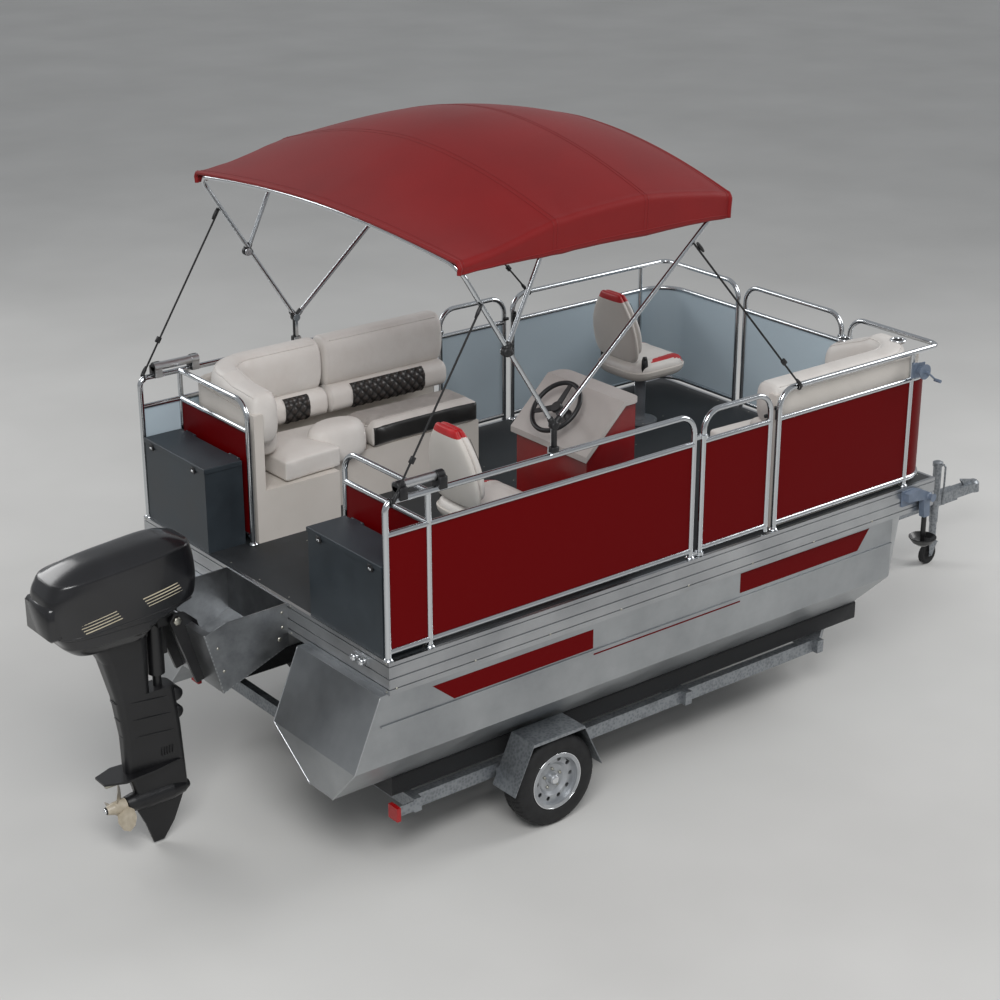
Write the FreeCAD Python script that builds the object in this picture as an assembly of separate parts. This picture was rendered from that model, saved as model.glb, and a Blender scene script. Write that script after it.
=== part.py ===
import FreeCAD, Part
import math
import os

# A compact pontoon boat on the single-axle road trailer that it stands on.
# Millimetres.  +X is the bow, +Y is port, +Z is up, and Z = 0 is the ground.
# The origin is on the ground midway between the two trailer wheels.

V = FreeCAD.Vector

# ---------------------------------------------------------------- deck and hulls
DECK_TOP = 1340.0            # walking surface above the ground
DECK_AFT = -1120.0           # the deck's aft edge, behind the axle
DECK_LENGTH = 4070.0
BEAM = 2440.0
DECK_BOARD = 38.0            # thickness of the decking
FASCIA_HEIGHT = 180.0        # the extrusion round the deck's edge
FASCIA_WALL = 20.0
FASCIA_GROOVE = 6.0
CROSS_MEMBERS = 9
CHANNEL_WIDTH = 50.0
CHANNEL_WALL = 5.0
HULL_CENTRE = 827.5          # each hull's centre line from the boat's
HULL_WIDTH = 745.0
HULL_SIDE = 390.0            # the upright side, from the fascia down to the chine
HULL_DEPTH = 660.0           # from the fascia down to the flat keel
KEEL_HALF = 105.0
CREASE_DROP = 165.0          # the pressed step along each side, below the fascia
CREASE_HEIGHT = 10.0
CREASE_PROUD = 8.0
NOSE_LENGTH = 340.0
NOSE_NARROWING = 0.45        # of the hull's width, at the tip of the nose
NOSE_RISE = 330.0            # how far the keel climbs along the nose
RAKE_TOP = 45.0              # how far the transom stands aft of the deck, at its top
RAKE_CHINE = 210.0
RAKE_KEEL = 170.0
POD_HALF = 300.0             # the motor pod's half width
POD_WALL = 8.0
TRANSOM = 40.0               # the pod's own transom, which the motor clamps

# ---------------------------------------------------------------- fences and gates
TUBE = 16.0                  # radius of the bent fence tubes
POST_TUBE = 15.7             # of the straight posts under a rail
CROSS_TUBE = 15.4            # of the cross fence's bent tube
RAIL_TUBE = 15.0             # of the lower and middle rails
FENCE_INSET = 30.0           # tube centre from the deck's edge
RAIL_TOP = 840.0             # heights of the tube centres above the deck
RAIL_MID = 672.0
RAIL_LOW = 44.0
CORNER = 110.0               # bend at the end of each section
TIGHT_CORNER = 45.0
BOW_CORNER = 200.0           # bend of the panel and lower rails round the bow
PANEL = 6.0
GATE_AFT = 2130.0            # side gate's tubes, from the deck's aft edge
GATE_FORE = 2640.0
POST_GAP = 70.0              # between a gate's tube and the fixed post beside it
BOW_GATE_HALF = 420.0
CORNER_POST = DECK_LENGTH - 260.0        # last straight post before the bow
AFT_FENCE = 275.0            # the cross fence, from the deck's aft edge
AFT_FENCE_END = 470.0        # its inner post, from the centre line
GATE_FLOOR = 10.0            # the gates' clearance over the deck
LUG_RING = 24.0
RUNNING_FIT = 0.08

# ---------------------------------------------------------------- lockers
LOCKER_AFT = 10.0
LOCKER_FORE = 250.0
LOCKER_IN = 510.0
LOCKER_OUT = 1160.0
LOCKER_HEIGHT = 500.0
LOCKER_WALL = 12.0
LID = 28.0
LID_GAP = 3.0
LID_LIP = 6.0
HINGE_PIN = 4.0
HINGE_BARREL = 7.0
HINGE_INSET = 60.0           # hinges from the ends of the locker
HINGE_LENGTH = 60.0

# ---------------------------------------------------------------- seating and helm
SEAT_TOP = 455.0             # above the deck
CUSHION = 150.0
BACK_TOP = 905.0
LEG_TOP = 865.0              # the short seat's back, where it meets the long one
AFT_LEG_END = 865.0          # and at its inner end
BOW_LEG_END = 700.0
LOUNGE_OUT = 1160.0          # outer face of both lounges, from the centre line
BENCH_FRONT = 600.0          # front edge of the long seat
LEG_FRONT = 455.0            # inner end of the short seat
LOUNGE_BACK = 170.0          # thickness of the back cushions at their foot
SHELL = 60.0                 # the moulded shell behind the cushions
SHELL_CORNER = 165.0         # its outer corner, inside the bow fence's bend
BACK_CORNER = 180.0          # the bend of the back cushions at their inner corner
AFT_LOUNGE = (305.0, 2010.0)   # from the deck's aft edge
AFT_SPLIT = 1125.0           # between the aft lounge's corner unit and its bench
BOW_LOUNGE = (DECK_LENGTH - 1355.0, DECK_LENGTH - 65.0)
LEG_DEPTH = 600.0            # of the short leg, along the boat
CUP_RADIUS = 37.0
CUP_DEPTH = 75.0
# Cup holders: distance from the lounge's closed end, from the centre line, height of the mouth
AFT_CUPS = [(100.0, 880.0, 865.0)]
BOW_CUPS = [(100.0, 570.0, 727.0), (80.0, 1010.0, 830.0)]
CHAIR_OFFSET = 660.0         # both chairs' stems, from the centre line
HELM_CHAIR = 1060.0          # from the deck's aft edge
BOW_CHAIR = 3350.0
CHAIR_WIDTH = 460.0
CHAIR_DEPTH = 470.0
CHAIR_SEAT = 110.0           # thickness of its cushion
CHAIR_BACK = 95.0
CHAIR_TOP = 930.0
CHAIR_TILT = 10.0            # degrees
FOLD_HEIGHT = 40.0           # the back's pin above the seat
FOLD_INSET = 12.0            # and behind the face of the back
FOLD_FREE = 22.0             # the back's foot above the seat
STEM = 36.0
CONSOLE_AFT = 1460.0
CONSOLE_DEPTH = 340.0
CONSOLE_FORE = CONSOLE_AFT + CONSOLE_DEPTH
CONSOLE_IN = 410.0
CONSOLE_OUT = 1000.0
CONSOLE_LOW = 680.0          # height of its aft edge
CONSOLE_HIGH = 920.0
DASH_OVERHANG = 24.0
DASH = 24.0                  # thickness of the moulded top
WHEEL_RADIUS = 165.0         # of the steering wheel
WHEEL_GRIP = 13.0
WHEEL_STANDOFF = 95.0        # from the dash to the wheel's plane

# ---------------------------------------------------------------- sun canopy
CANOPY_AFT = 455.0           # from the deck's aft edge
CANOPY_MID = 1050.0
CANOPY_FORE = 2245.0
CANOPY_HALF = 1215.0
CANOPY_HEM = 1895.0          # the lower edge, above the deck
CANOPY_CLOTH = 10.0
CLOTH_SHOULDER = 30.0        # the bevel between the roof and its valances
BOW_TUBE = 12.5              # radius of the canopy's hoops
HUB_X = 1070.0               # the hoops' hinge
HUB_Z = 1005.0
HOOP_INSET = BOW_TUBE + 4.0   # the end hoops' centres from the ends of the cloth
HOOP_DROP = CANOPY_CLOTH + BOW_TUBE + 6.0   # the hoops' centres below the cloth
HOOP_CORNER = 90.0           # bend between a hoop's leg and its roof
HOOP_SPARE = 110.0           # straight run kept beside that bend
HOOP_EAR = 17.0
HOOP_BOSS = 22.0
STRAP = 5.5                  # radius of a strap
STRAP_AFT = 45.0             # the straps' feet, from the deck's aft edge
STRAP_FORE = 2850.0

# ---------------------------------------------------------------- outboard motor
TILT_X = -560.0              # tilt tube, from the deck's aft edge
TILT_Z = -10.0               # above the deck's top
STEER_X = -635.0
SHAFT_Z = -1040.0            # propeller shaft
PROP_X = -905.0
PROP_RADIUS = 150.0
BLADES = 3
SKEG_Z = -1325.0

# ---------------------------------------------------------------- fittings
REST_INSET = 25.0            # the canopy's rests, inboard of the rails
REST_RISE = 60.0             # and above them
REST_AFT = 95.0              # from the deck's aft edge
REST_FORE = 380.0
REST_TUBE = 24.0
REST_BRACKET = 45.0          # length of each bracket along the rail
DAVIT_X = DECK_LENGTH - 300.0

# ---------------------------------------------------------------- trailer
TYRE_RADIUS = 270.0
TYRE_WIDTH = 165.0
RIM_RADIUS = 165.0
TRACK_HALF = 1117.0          # from the centre line to the middle of a tyre
SPINDLE = 16.0
AXLE_TUBE = 60.0
FRAME_HEIGHT = 80.0
FRAME_RAIL = 50.0            # width of a frame tube
RAIL_TO_TYRE = 39.5          # from a side rail to the tyre's inner wall
CROSS_REACH = 60.0           # of the cross tubes, past the side rails' centres
FRAME_SIDE = TRACK_HALF - TYRE_WIDTH / 2 - RAIL_TO_TYRE - FRAME_RAIL / 2   # the side rails' centre
CROSS_HALF = FRAME_SIDE + CROSS_REACH
BUNK_WIDTH = 220.0
BUNK_HEIGHT = 115.0
BUNK = (200.0, 3750.0)       # from the deck's aft edge
TRAILER_CROSS = (300.0, 1120.0, 2250.0, 3350.0)
TONGUE_END = 5800.0
BRACE_END = 4650.0            # where the braces meet the tongue
TONGUE_WIDTH = 76.0
TONGUE_HEIGHT = 85.0
FENDER_SHEET = 4.0
FENDER_GAP = 14.0            # over the tyre
FENDER_SIDE = 20.0           # between the tyre's inner wall and the back plate
FENDER_CROWN = 175.0         # half the length of its level top
FENDER_FOOT = 305.0          # half its length at the foot
FENDER_ARM = 250.0           # its two arms, from the axle
BALL = 25.6                  # socket for a 50.8 mm ball
JACK_X = 5500.0
JACK_Y = -80.0
JACK_TUBE = 30.0
JACK_WALL = 4.0
JACK_FOOT = 310.0            # the outer tube's lower end above the ground
JACK_TOP = 730.0
JACK_WHEEL = 75.0
JACK_TRAIL = 40.0
STAND_X = 4400.0             # winch post, from the deck's aft edge

# ---------------------------------------------------------------- derived places
DECK_BOW = DECK_AFT + DECK_LENGTH
HALF_BEAM = BEAM / 2
FENCE_Y = HALF_BEAM - FENCE_INSET
BOW_FENCE = DECK_LENGTH - FENCE_INSET
HULL_TOP = DECK_TOP - FASCIA_HEIGHT
CHINE = HULL_TOP - HULL_SIDE
KEEL = HULL_TOP - HULL_DEPTH
FRAME_TOP = KEEL - BUNK_HEIGHT
FRAME_BOTTOM = FRAME_TOP - FRAME_HEIGHT


def along(x):
    """X of a place given from the deck's aft edge."""
    return DECK_AFT + x


def above(z):
    """Z of a height given above the deck."""
    return DECK_TOP + z


# ---------------------------------------------------------------- shape tools
def box(x, y, z):
    """Block between two values on each axis."""
    size = [abs(pair[1] - pair[0]) for pair in (x, y, z)]
    return Part.makeBox(size[0], size[1], size[2], V(min(x), min(y), min(z)))


def prism(points, axis, low, high):
    """Outline carried along an axis; its points are the other two axes, in order."""
    place = {"x": lambda a, b: V(low, a, b), "y": lambda a, b: V(a, low, b), "z": lambda a,
             b: V(a, b, low)}[axis]
    run = {"x": V(high - low, 0, 0), "y": V(0, high - low, 0), "z": V(0, 0, high - low)}[axis]
    corners = [place(a, b) for a, b in points]
    return Part.Face(Part.makePolygon(corners + corners[:1])).extrude(run)


def bar(start, end, radius):
    """Round bar between two points."""
    return Part.makeCylinder(radius, (end - start).Length, start, end - start)


def bend_points(before, corner, after, radius):
    """Ends and centre of the arc that rounds a corner, and its axis and angle."""
    back = (before - corner).normalize()
    on = (after - corner).normalize()
    half = back.getAngle(on) / 2
    reach = radius / math.tan(half)
    first = corner + back * reach
    second = corner + on * reach
    centre = corner + (back + on).normalize() * (radius / math.sin(half))
    axis = (first - centre).cross(second - centre).normalize()
    return first, second, centre, axis, 180.0 - math.degrees(2 * half)


def bent(points, bends, face, straight):
    """Straight pieces through the points, joined by a face turned round each bend."""
    pieces = []
    last = points[0]
    for i, radius in enumerate(bends, start=1):
        first, second, centre, axis, angle = bend_points(points[i - 1], points[i], points[i + 1], radius)
        pieces.append(straight(last, first))
        pieces.append(face(first, (first - last).normalize()).revolve(centre, axis, angle))
        last = second
    pieces.append(straight(last, points[-1]))
    return fused(pieces)


def tube(points, bends, radius):
    """Round tube bent along a route."""
    def disc(place, heading):
        return Part.Face(Part.Wire(Part.makeCircle(radius, place, heading)))

    return bent(points, bends, disc, lambda start, end: bar(start, end, radius))


def spun(points, centre, axis, angle=360.0):
    """Outline of (distance along the axis, radius) turned about an axis through the centre."""
    axis = V(axis).normalize()
    side = axis.cross(V(0, 0, 1) if abs(axis.z) < 0.9 else V(1, 0, 0)).normalize()
    corners = [centre + axis * a + side * r for a, r in points]
    face = Part.Face(Part.makePolygon(corners + corners[:1]))
    return face.revolve(centre, axis, angle)


def fused(shapes):
    """One solid from pieces that meet."""
    return shapes[0].multiFuse(shapes[1:]).removeSplitter() if len(shapes) > 1 else shapes[0]


def apart(shapes):
    """Solids that don't touch, kept side by side."""
    return Part.makeCompound([solid for shape in shapes for solid in shape.Solids])


def starboard(shape):
    """The same piece on the other side of the boat."""
    return shape.mirror(V(0, 0, 0), V(0, 1, 0))


def tilted(shape, centre, axis, degrees):
    """A turned copy."""
    copy = shape.copy()
    copy.rotate(centre, axis, degrees)
    return copy


def rounded(shape, radius, chosen):
    """Fillet on the edges that a test picks."""
    return shape.makeFillet(radius, [edge for edge in shape.Edges if chosen(edge)])


def runs_along(axis):
    """Test for straight edges along an axis."""
    def test(edge):
        if len(edge.Vertexes) < 2:
            return False
        step = edge.Vertexes[1].Point - edge.Vertexes[0].Point
        return step.Length > 1e-6 and abs(step.dot(axis)) > 0.999 * step.Length
    return test


# ---------------------------------------------------------------- hulls and deck
def pontoon():
    """Port hull: folded sheet, boxy above the chine and V-shaped below, with a snub nose."""
    inner = HULL_CENTRE - HULL_WIDTH / 2
    outer = HULL_CENTRE + HULL_WIDTH / 2
    nose = DECK_BOW - NOSE_LENGTH
    keel_in = HULL_CENTRE - KEEL_HALF
    keel_out = HULL_CENTRE + KEEL_HALF
    section = [(inner, HULL_TOP), (outer, HULL_TOP), (outer, CHINE), (keel_out, KEEL), (keel_in, KEEL),
               (inner, CHINE)]
    body = prism(section, "x", along(-RAKE_CHINE), nose)
    beyond = along(-2 * RAKE_CHINE)
    rake = [(along(-RAKE_TOP), HULL_TOP), (along(-RAKE_CHINE), CHINE), (along(-RAKE_KEEL), KEEL)]
    waste = [(beyond, HULL_TOP + 1)] + [(rake[0][0], HULL_TOP + 1)] + rake + [(rake[2][0], KEEL - 1),
                                                                              (beyond, KEEL - 1)]
    body = body.cut(prism(waste, "y", inner - 1, outer + 1))

    def station(x, width, rise):
        return Part.makePolygon([V(x, HULL_CENTRE + (y - HULL_CENTRE) * width, min(z + rise, HULL_TOP - 1)
                                   if z < HULL_TOP else HULL_TOP) for y, z in section + section[:1]])

    tip = station(DECK_BOW - FASCIA_WALL, NOSE_NARROWING, NOSE_RISE)
    body = body.fuse(Part.makeLoft([station(nose, 1.0, 0.0), tip], True, True))
    crease = HULL_TOP - CREASE_DROP
    ledge = box((along(-RAKE_TOP), nose), (inner - CREASE_PROUD, outer + CREASE_PROUD),
                (crease - CREASE_HEIGHT, crease))
    return body.fuse(ledge).removeSplitter()


def deck_board():
    """Ribbed decking, let into the edge extrusion."""
    return box((DECK_AFT + FASCIA_WALL, DECK_BOW - FASCIA_WALL),
               (-HALF_BEAM + FASCIA_WALL, HALF_BEAM - FASCIA_WALL), (DECK_TOP - DECK_BOARD, DECK_TOP))


def deck_frame():
    """Grooved aluminium extrusion round the deck, with the channels that cross the hulls."""
    low = DECK_TOP - FASCIA_HEIGHT
    # foot and head of each band of the extrusion, and how far it is let in
    bands = [(low, low + 28, 0), (low + 28, low + 34, FASCIA_GROOVE), (low + 34, low + 86, 0),
             (low + 86, low + 94, FASCIA_GROOVE), (low + 94, DECK_TOP - 26, 0),
             (DECK_TOP - 26, DECK_TOP - 20, FASCIA_GROOVE), (DECK_TOP - 20, DECK_TOP, 0)]
    rings = []
    for foot, head, inset in bands:
        outer = box((DECK_AFT + inset, DECK_BOW - inset), (-HALF_BEAM + inset, HALF_BEAM - inset),
                    (foot, head))
        hole = box((DECK_AFT + FASCIA_WALL, DECK_BOW - FASCIA_WALL),
                   (-HALF_BEAM + FASCIA_WALL, HALF_BEAM - FASCIA_WALL), (foot, head))
        rings.append(outer.cut(hole))
    top = DECK_TOP - DECK_BOARD
    web = CHANNEL_WALL
    channel = [(0, low), (CHANNEL_WIDTH, low), (CHANNEL_WIDTH, low + web), (web, low + web),
               (web, top - web), (CHANNEL_WIDTH, top - web), (CHANNEL_WIDTH, top), (0, top)]
    pitch = (DECK_LENGTH - 2 * FASCIA_WALL - CHANNEL_WIDTH) / (CROSS_MEMBERS - 1)
    reach = HALF_BEAM - FASCIA_WALL
    for i in range(CROSS_MEMBERS):
        start = DECK_AFT + FASCIA_WALL + i * pitch
        rings.append(prism([(start + a, b) for a, b in channel], "y", -reach, reach))
    return fused(rings)


def motor_pod():
    """Welded pod behind the deck: two cheeks, a floor and the transom, open on top."""
    rim = [(0, -4), (-375, -10), (-510, -50), (-410, -407), (0, -FASCIA_HEIGHT - 70)]
    outline = [(along(a), above(b)) for a, b in rim]
    cheek = prism(outline, "y", POD_HALF - POD_WALL, POD_HALF)
    fall = V(-100, 0, 357).normalize()
    inward = V(fall.z, 0, -fall.x) * TRANSOM
    aft = [V(along(-510), 0, above(-50)), V(along(-410), 0, above(-407))]
    board = [(p.x, p.z) for p in (aft[0], aft[1], aft[1] + inward, aft[0] + inward)]
    inside = POD_HALF - POD_WALL
    transom = prism(board, "y", -inside, inside)
    transom = transom.common(prism(outline, "y", -inside, inside))
    slope = (407 - FASCIA_HEIGHT - 70) / 410.0
    floor = [(along(0), above(-FASCIA_HEIGHT - 70)), (along(-410), above(-407)),
             (along(-410), above(-407 + POD_WALL)),
             (along(0), above(-FASCIA_HEIGHT - 70 + POD_WALL * (1 + slope)))]
    sill = box((along(-POD_WALL), along(0)), (-inside, inside), (above(-FASCIA_HEIGHT - 70), above(-4)))
    return fused([cheek, starboard(cheek), transom, prism(floor, "y", -inside, inside), sill])


# ---------------------------------------------------------------- fences
def post(x, y, low=0.0, high=RAIL_TOP):
    """Upright tube."""
    return bar(V(along(x), y, above(low)), V(along(x), y, above(high)), POST_TUBE)


def rail(start, end, height):
    """Level tube between two (x, y) places."""
    return bar(V(along(start[0]), start[1], above(height)), V(along(end[0]), end[1], above(height)),
               RAIL_TUBE)


def hoop(first, last, foot, bends):
    """Two posts and the rail between their heads, bent from one tube."""
    places = [(first, foot), (first, RAIL_TOP), (last, RAIL_TOP), (last, foot)]
    return tube([V(along(p[0]), p[1], above(z)) for p, z in places], bends, TUBE)


def hinge_lug(fixed, moving, height):
    """Lug from a fixed post to the ring that a gate's tube turns in."""
    fixed = V(along(fixed[0]), fixed[1], above(height))
    moving = V(along(moving[0]), moving[1], above(height))
    half = V(0, 0, 10)
    reach = box((min(fixed.x, moving.x) - 8, max(fixed.x, moving.x) + 8),
                (min(fixed.y, moving.y) - 8, max(fixed.y, moving.y) + 8), (fixed.z - 10, fixed.z + 10))
    ring = bar(moving - half, moving + half, LUG_RING)
    hole = bar(moving - half * 2, moving + half * 2, TUBE + RUNNING_FIT)
    return fused([reach, ring]).cut(hole)


LUG_HEIGHTS = (RAIL_LOW - TUBE - 14.0, RAIL_MID + TUBE + 14.0)


def fence_frame_port():
    """Fixed tubes on the port side: the aft section with its cross fence, and the bow section."""
    aft = [hoop((TUBE + 2, FENCE_Y), (GATE_AFT - POST_GAP, FENCE_Y), 0, [TIGHT_CORNER, CORNER]),
           post(AFT_FENCE, FENCE_Y)]
    cross = [V(along(AFT_FENCE), FENCE_Y, above(RAIL_TOP)),
             V(along(AFT_FENCE), AFT_FENCE_END, above(RAIL_TOP)),
             V(along(AFT_FENCE), AFT_FENCE_END, above(0))]
    aft.append(tube(cross, [CORNER], CROSS_TUBE))
    for height in (RAIL_LOW, RAIL_MID):
        aft.append(rail((TUBE + 2, FENCE_Y), (GATE_AFT - POST_GAP, FENCE_Y), height))
        aft.append(rail((AFT_FENCE, FENCE_Y), (AFT_FENCE, AFT_FENCE_END), height))
    for height in LUG_HEIGHTS:
        aft.append(hinge_lug((GATE_AFT - POST_GAP, FENCE_Y), (GATE_AFT, FENCE_Y), height))

    start = (GATE_FORE + POST_GAP, FENCE_Y)
    corner = (BOW_FENCE, FENCE_Y)
    end = (BOW_FENCE, BOW_GATE_HALF + POST_GAP)
    places = [(start, 0), (start, RAIL_TOP), (corner, RAIL_TOP), (end, RAIL_TOP), (end, 0)]
    bow = [tube([V(along(p[0]), p[1], above(z)) for p, z in places], [CORNER, 60.0, CORNER], TUBE),
           post(CORNER_POST, FENCE_Y)]
    for height in (RAIL_LOW, RAIL_MID):
        places = [V(along(p[0]), p[1], above(height)) for p in (start, corner, end)]
        bow.append(tube(places, [BOW_CORNER], RAIL_TUBE))
    return aft, bow


def panel_sheet(start, end):
    """Painted sheet between two tubes and the lower and middle rails."""
    low, high = above(RAIL_LOW + RAIL_TUBE), above(RAIL_MID - RAIL_TUBE)
    half = PANEL / 2
    if abs(start[1] - end[1]) < 1e-6:
        a, b = sorted((start[0], end[0]))
        return box((along(a + TUBE), along(b - TUBE)), (start[1] - half, start[1] + half), (low, high))
    a, b = sorted((start[1], end[1]))
    return box((along(start[0]) - half, along(start[0]) + half), (a + TUBE, b - TUBE), (low, high))


def bow_sheet():
    """The sheet that runs from the corner post round the bow."""
    low, high = above(RAIL_LOW + RAIL_TUBE), above(RAIL_MID - RAIL_TUBE)
    points = [V(along(CORNER_POST + TUBE), FENCE_Y, low), V(along(BOW_FENCE), FENCE_Y, low),
              V(along(BOW_FENCE), BOW_GATE_HALF + POST_GAP + TUBE, low)]

    def edge(place, heading):
        out = V(0, 0, 1).cross(heading) * (PANEL / 2)
        rise = V(0, 0, high - low)
        corners = [place - out, place + out, place + out + rise, place - out + rise]
        return Part.Face(Part.makePolygon(corners + corners[:1]))

    def flat(start, end):
        return edge(start, (end - start).normalize()).extrude(end - start)

    return bent(points, [BOW_CORNER], edge, flat)


def fence_panels_port():
    """All the fixed sheets on the port side."""
    return [panel_sheet((TUBE + 2, FENCE_Y), (AFT_FENCE, FENCE_Y)),
            panel_sheet((AFT_FENCE, FENCE_Y), (GATE_AFT - POST_GAP, FENCE_Y)),
            panel_sheet((AFT_FENCE, FENCE_Y), (AFT_FENCE, AFT_FENCE_END)),
            panel_sheet((GATE_FORE + POST_GAP, FENCE_Y), (CORNER_POST, FENCE_Y)),
            bow_sheet()]


def gate(first, last):
    """A gate's bent tube with its two cross tubes, and its sheet."""
    frame = [hoop(first, last, GATE_FLOOR, [CORNER, CORNER])]
    for height in (RAIL_LOW, RAIL_MID):
        frame.append(rail(first, last, height))
    return fused(frame), panel_sheet(first, last)


# ---------------------------------------------------------------- lockers
def locker_port():
    """Open-topped box with hinge pins at its fore edge, and the lid that turns on them."""
    x = (along(LOCKER_AFT), along(LOCKER_FORE))
    y = (LOCKER_IN, LOCKER_OUT)
    top = above(LOCKER_HEIGHT - LID - LID_GAP)
    body = box(x, y, (DECK_TOP, top))
    body = body.cut(box((x[0] + LOCKER_WALL, x[1] - LOCKER_WALL), (y[0] + LOCKER_WALL, y[1] - LOCKER_WALL),
                        (DECK_TOP + LOCKER_WALL, top)))
    lid = box((x[0] - LID_LIP, x[1] - LID_GAP), (y[0] - LID_LIP, y[1] + LID_LIP),
              (above(LOCKER_HEIGHT - LID), above(LOCKER_HEIGHT)))
    lid = rounded(lid, 5.0, lambda edge: edge.CenterOfMass.z > above(LOCKER_HEIGHT) - 1)
    axis_x, axis_z = x[1] + HINGE_BARREL, above(LOCKER_HEIGHT) - HINGE_BARREL
    fixed, turning = [body], [lid]
    for start in (y[0] + HINGE_INSET, y[1] - HINGE_INSET - HINGE_LENGTH):
        end = start + HINGE_LENGTH
        fixed.append(bar(V(axis_x, start - 20, axis_z), V(axis_x, end + 20, axis_z), HINGE_PIN))
        for a, b in ((start - 20, start - 1), (end + 1, end + 20)):
            fixed.append(bar(V(axis_x, a, axis_z), V(axis_x, b, axis_z), HINGE_BARREL))
            fixed.append(box((x[1], x[1] + LID_GAP), (a, b), (top - 60, axis_z)))
        leaf = box((x[1] - 2 * LID_GAP, axis_x), (start, end), (axis_z, axis_z + HINGE_BARREL))
        leaf = leaf.fuse(bar(V(axis_x, start, axis_z), V(axis_x, end, axis_z), HINGE_BARREL))
        hole = bar(V(axis_x, start - 1, axis_z), V(axis_x, end + 1, axis_z), HINGE_PIN + RUNNING_FIT)
        turning.append(leaf.cut(hole))
    return fused(fixed), fused(turning)


# ---------------------------------------------------------------- lounges
def inner_corner(x, y, low):
    """Picks the leaning edge where the two runs of back cushion meet."""
    def chosen(edge):
        foot = min((vertex.Point for vertex in edge.Vertexes), key=lambda p: p.z)
        rise = abs(edge.tangentAt(edge.FirstParameter).z)
        return abs(foot.x - x) < 1 and abs(foot.y - y) < 1 and abs(foot.z - low) < 1 and rise > 0.5
    return chosen


def lounge(span, leg_at_aft, leg_end, cups):
    """Port lounge between two places along the deck: shell, seat cushions and back cushions.

    The long bench lies along the side, and the short leg crosses the boat at one end, with
    its back leg_end high at its inner end.
    Cup holders are given by their distance from that end, from the centre line, and height.
    """
    aft, fore = along(span[0]), along(span[1])
    turn = 1.0 if leg_at_aft else -1.0
    corner = aft if leg_at_aft else fore
    far = fore if leg_at_aft else aft

    def x(distance):
        return corner + turn * distance

    base_top = above(SEAT_TOP - CUSHION)
    recess = 45.0
    footprint = [(x(0), LOUNGE_OUT), (far, LOUNGE_OUT), (far, BENCH_FRONT + recess),
                 (x(LEG_DEPTH - recess), BENCH_FRONT + recess), (x(LEG_DEPTH - recess), LEG_FRONT),
                 (x(0), LEG_FRONT)]
    shell = [prism(footprint, "z", DECK_TOP, base_top)]
    wall_top = above(BACK_TOP - 110)
    shell.append(box((x(0), far), (LOUNGE_OUT - SHELL, LOUNGE_OUT), (base_top, wall_top)))
    end = [(LEG_FRONT, base_top), (LOUNGE_OUT - SHELL, base_top), (LOUNGE_OUT - SHELL, wall_top),
           (LEG_FRONT, above(leg_end - 110))]
    shell.append(prism(end, "x", x(0), x(SHELL)))

    gap = 0.5
    split = along(AFT_SPLIT) if leg_at_aft else None
    seat = []
    back_front = LOUNGE_OUT - SHELL - LOUNGE_BACK
    inner = x(SHELL + LOUNGE_BACK)
    ell = [(inner, back_front), (inner, LEG_FRONT), (x(LEG_DEPTH), LEG_FRONT), (x(LEG_DEPTH), BENCH_FRONT)]
    if leg_at_aft:
        seat.append(prism(ell + [(split - gap, BENCH_FRONT), (split - gap, back_front)], "z", base_top,
                          above(SEAT_TOP)))
        seat.append(box((split + gap, far), (BENCH_FRONT, back_front), (base_top, above(SEAT_TOP))))
    else:
        seat.append(prism(ell + [(far, BENCH_FRONT), (far, back_front)], "z", base_top, above(SEAT_TOP)))
    seat = [rounded(s, 30.0, lambda e: e.CenterOfMass.z > above(SEAT_TOP) - 1) for s in seat]

    lean = 50.0
    side = [(LOUNGE_OUT - SHELL, base_top), (back_front, base_top), (back_front + lean, above(BACK_TOP)),
            (LOUNGE_OUT, above(BACK_TOP)), (LOUNGE_OUT, wall_top), (LOUNGE_OUT - SHELL, wall_top)]
    backs = []
    stops = [(x(SHELL), split - gap), (split + gap, far)] if leg_at_aft else [(x(SHELL), far)]
    for pair in stops:
        backs.append(prism(side, "x", min(pair), max(pair)))
    across = [(x(SHELL), base_top), (inner, base_top), (inner - turn * lean, above(LEG_TOP)),
              (x(0), above(LEG_TOP)),
              (x(0), above(leg_end - 160)), (x(SHELL), above(leg_end - 160))]
    leg_back = prism(across, "y", LEG_FRONT + 10, LOUNGE_OUT - SHELL)
    if leg_end < LEG_TOP:
        slope = [(LEG_FRONT, above(leg_end)), (LOUNGE_OUT, above(LEG_TOP)), (LOUNGE_OUT, above(BACK_TOP)),
                 (LEG_FRONT, above(BACK_TOP))]
        leg_back = leg_back.cut(prism(slope, "x", x(-20), x(2 * LEG_DEPTH)))
    leg_back = leg_back.cut(fused(shell))
    backs[0] = fused([backs[0], leg_back]).cut(fused(shell))
    backs[0] = rounded(backs[0], BACK_CORNER, inner_corner(inner, back_front, base_top))
    for distance, y, height in cups:
        mouth = V(x(distance), y, above(height + CUP_RADIUS))
        cup = bar(mouth, V(x(distance), y, above(height - CUP_DEPTH)), CUP_RADIUS)
        backs[0] = backs[0].cut(cup)
    size = SHELL_CORNER
    waste = box((x(0), x(size)), (LOUNGE_OUT - size, LOUNGE_OUT), (DECK_TOP, above(BACK_TOP)))
    waste = waste.cut(bar(V(x(size), LOUNGE_OUT - size, DECK_TOP),
                          V(x(size), LOUNGE_OUT - size, above(BACK_TOP)), size))
    seat = [cushion.cut(backs[0]) for cushion in seat]
    return fused(shell).cut(waste), seat, [back.cut(waste) for back in backs]


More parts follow.
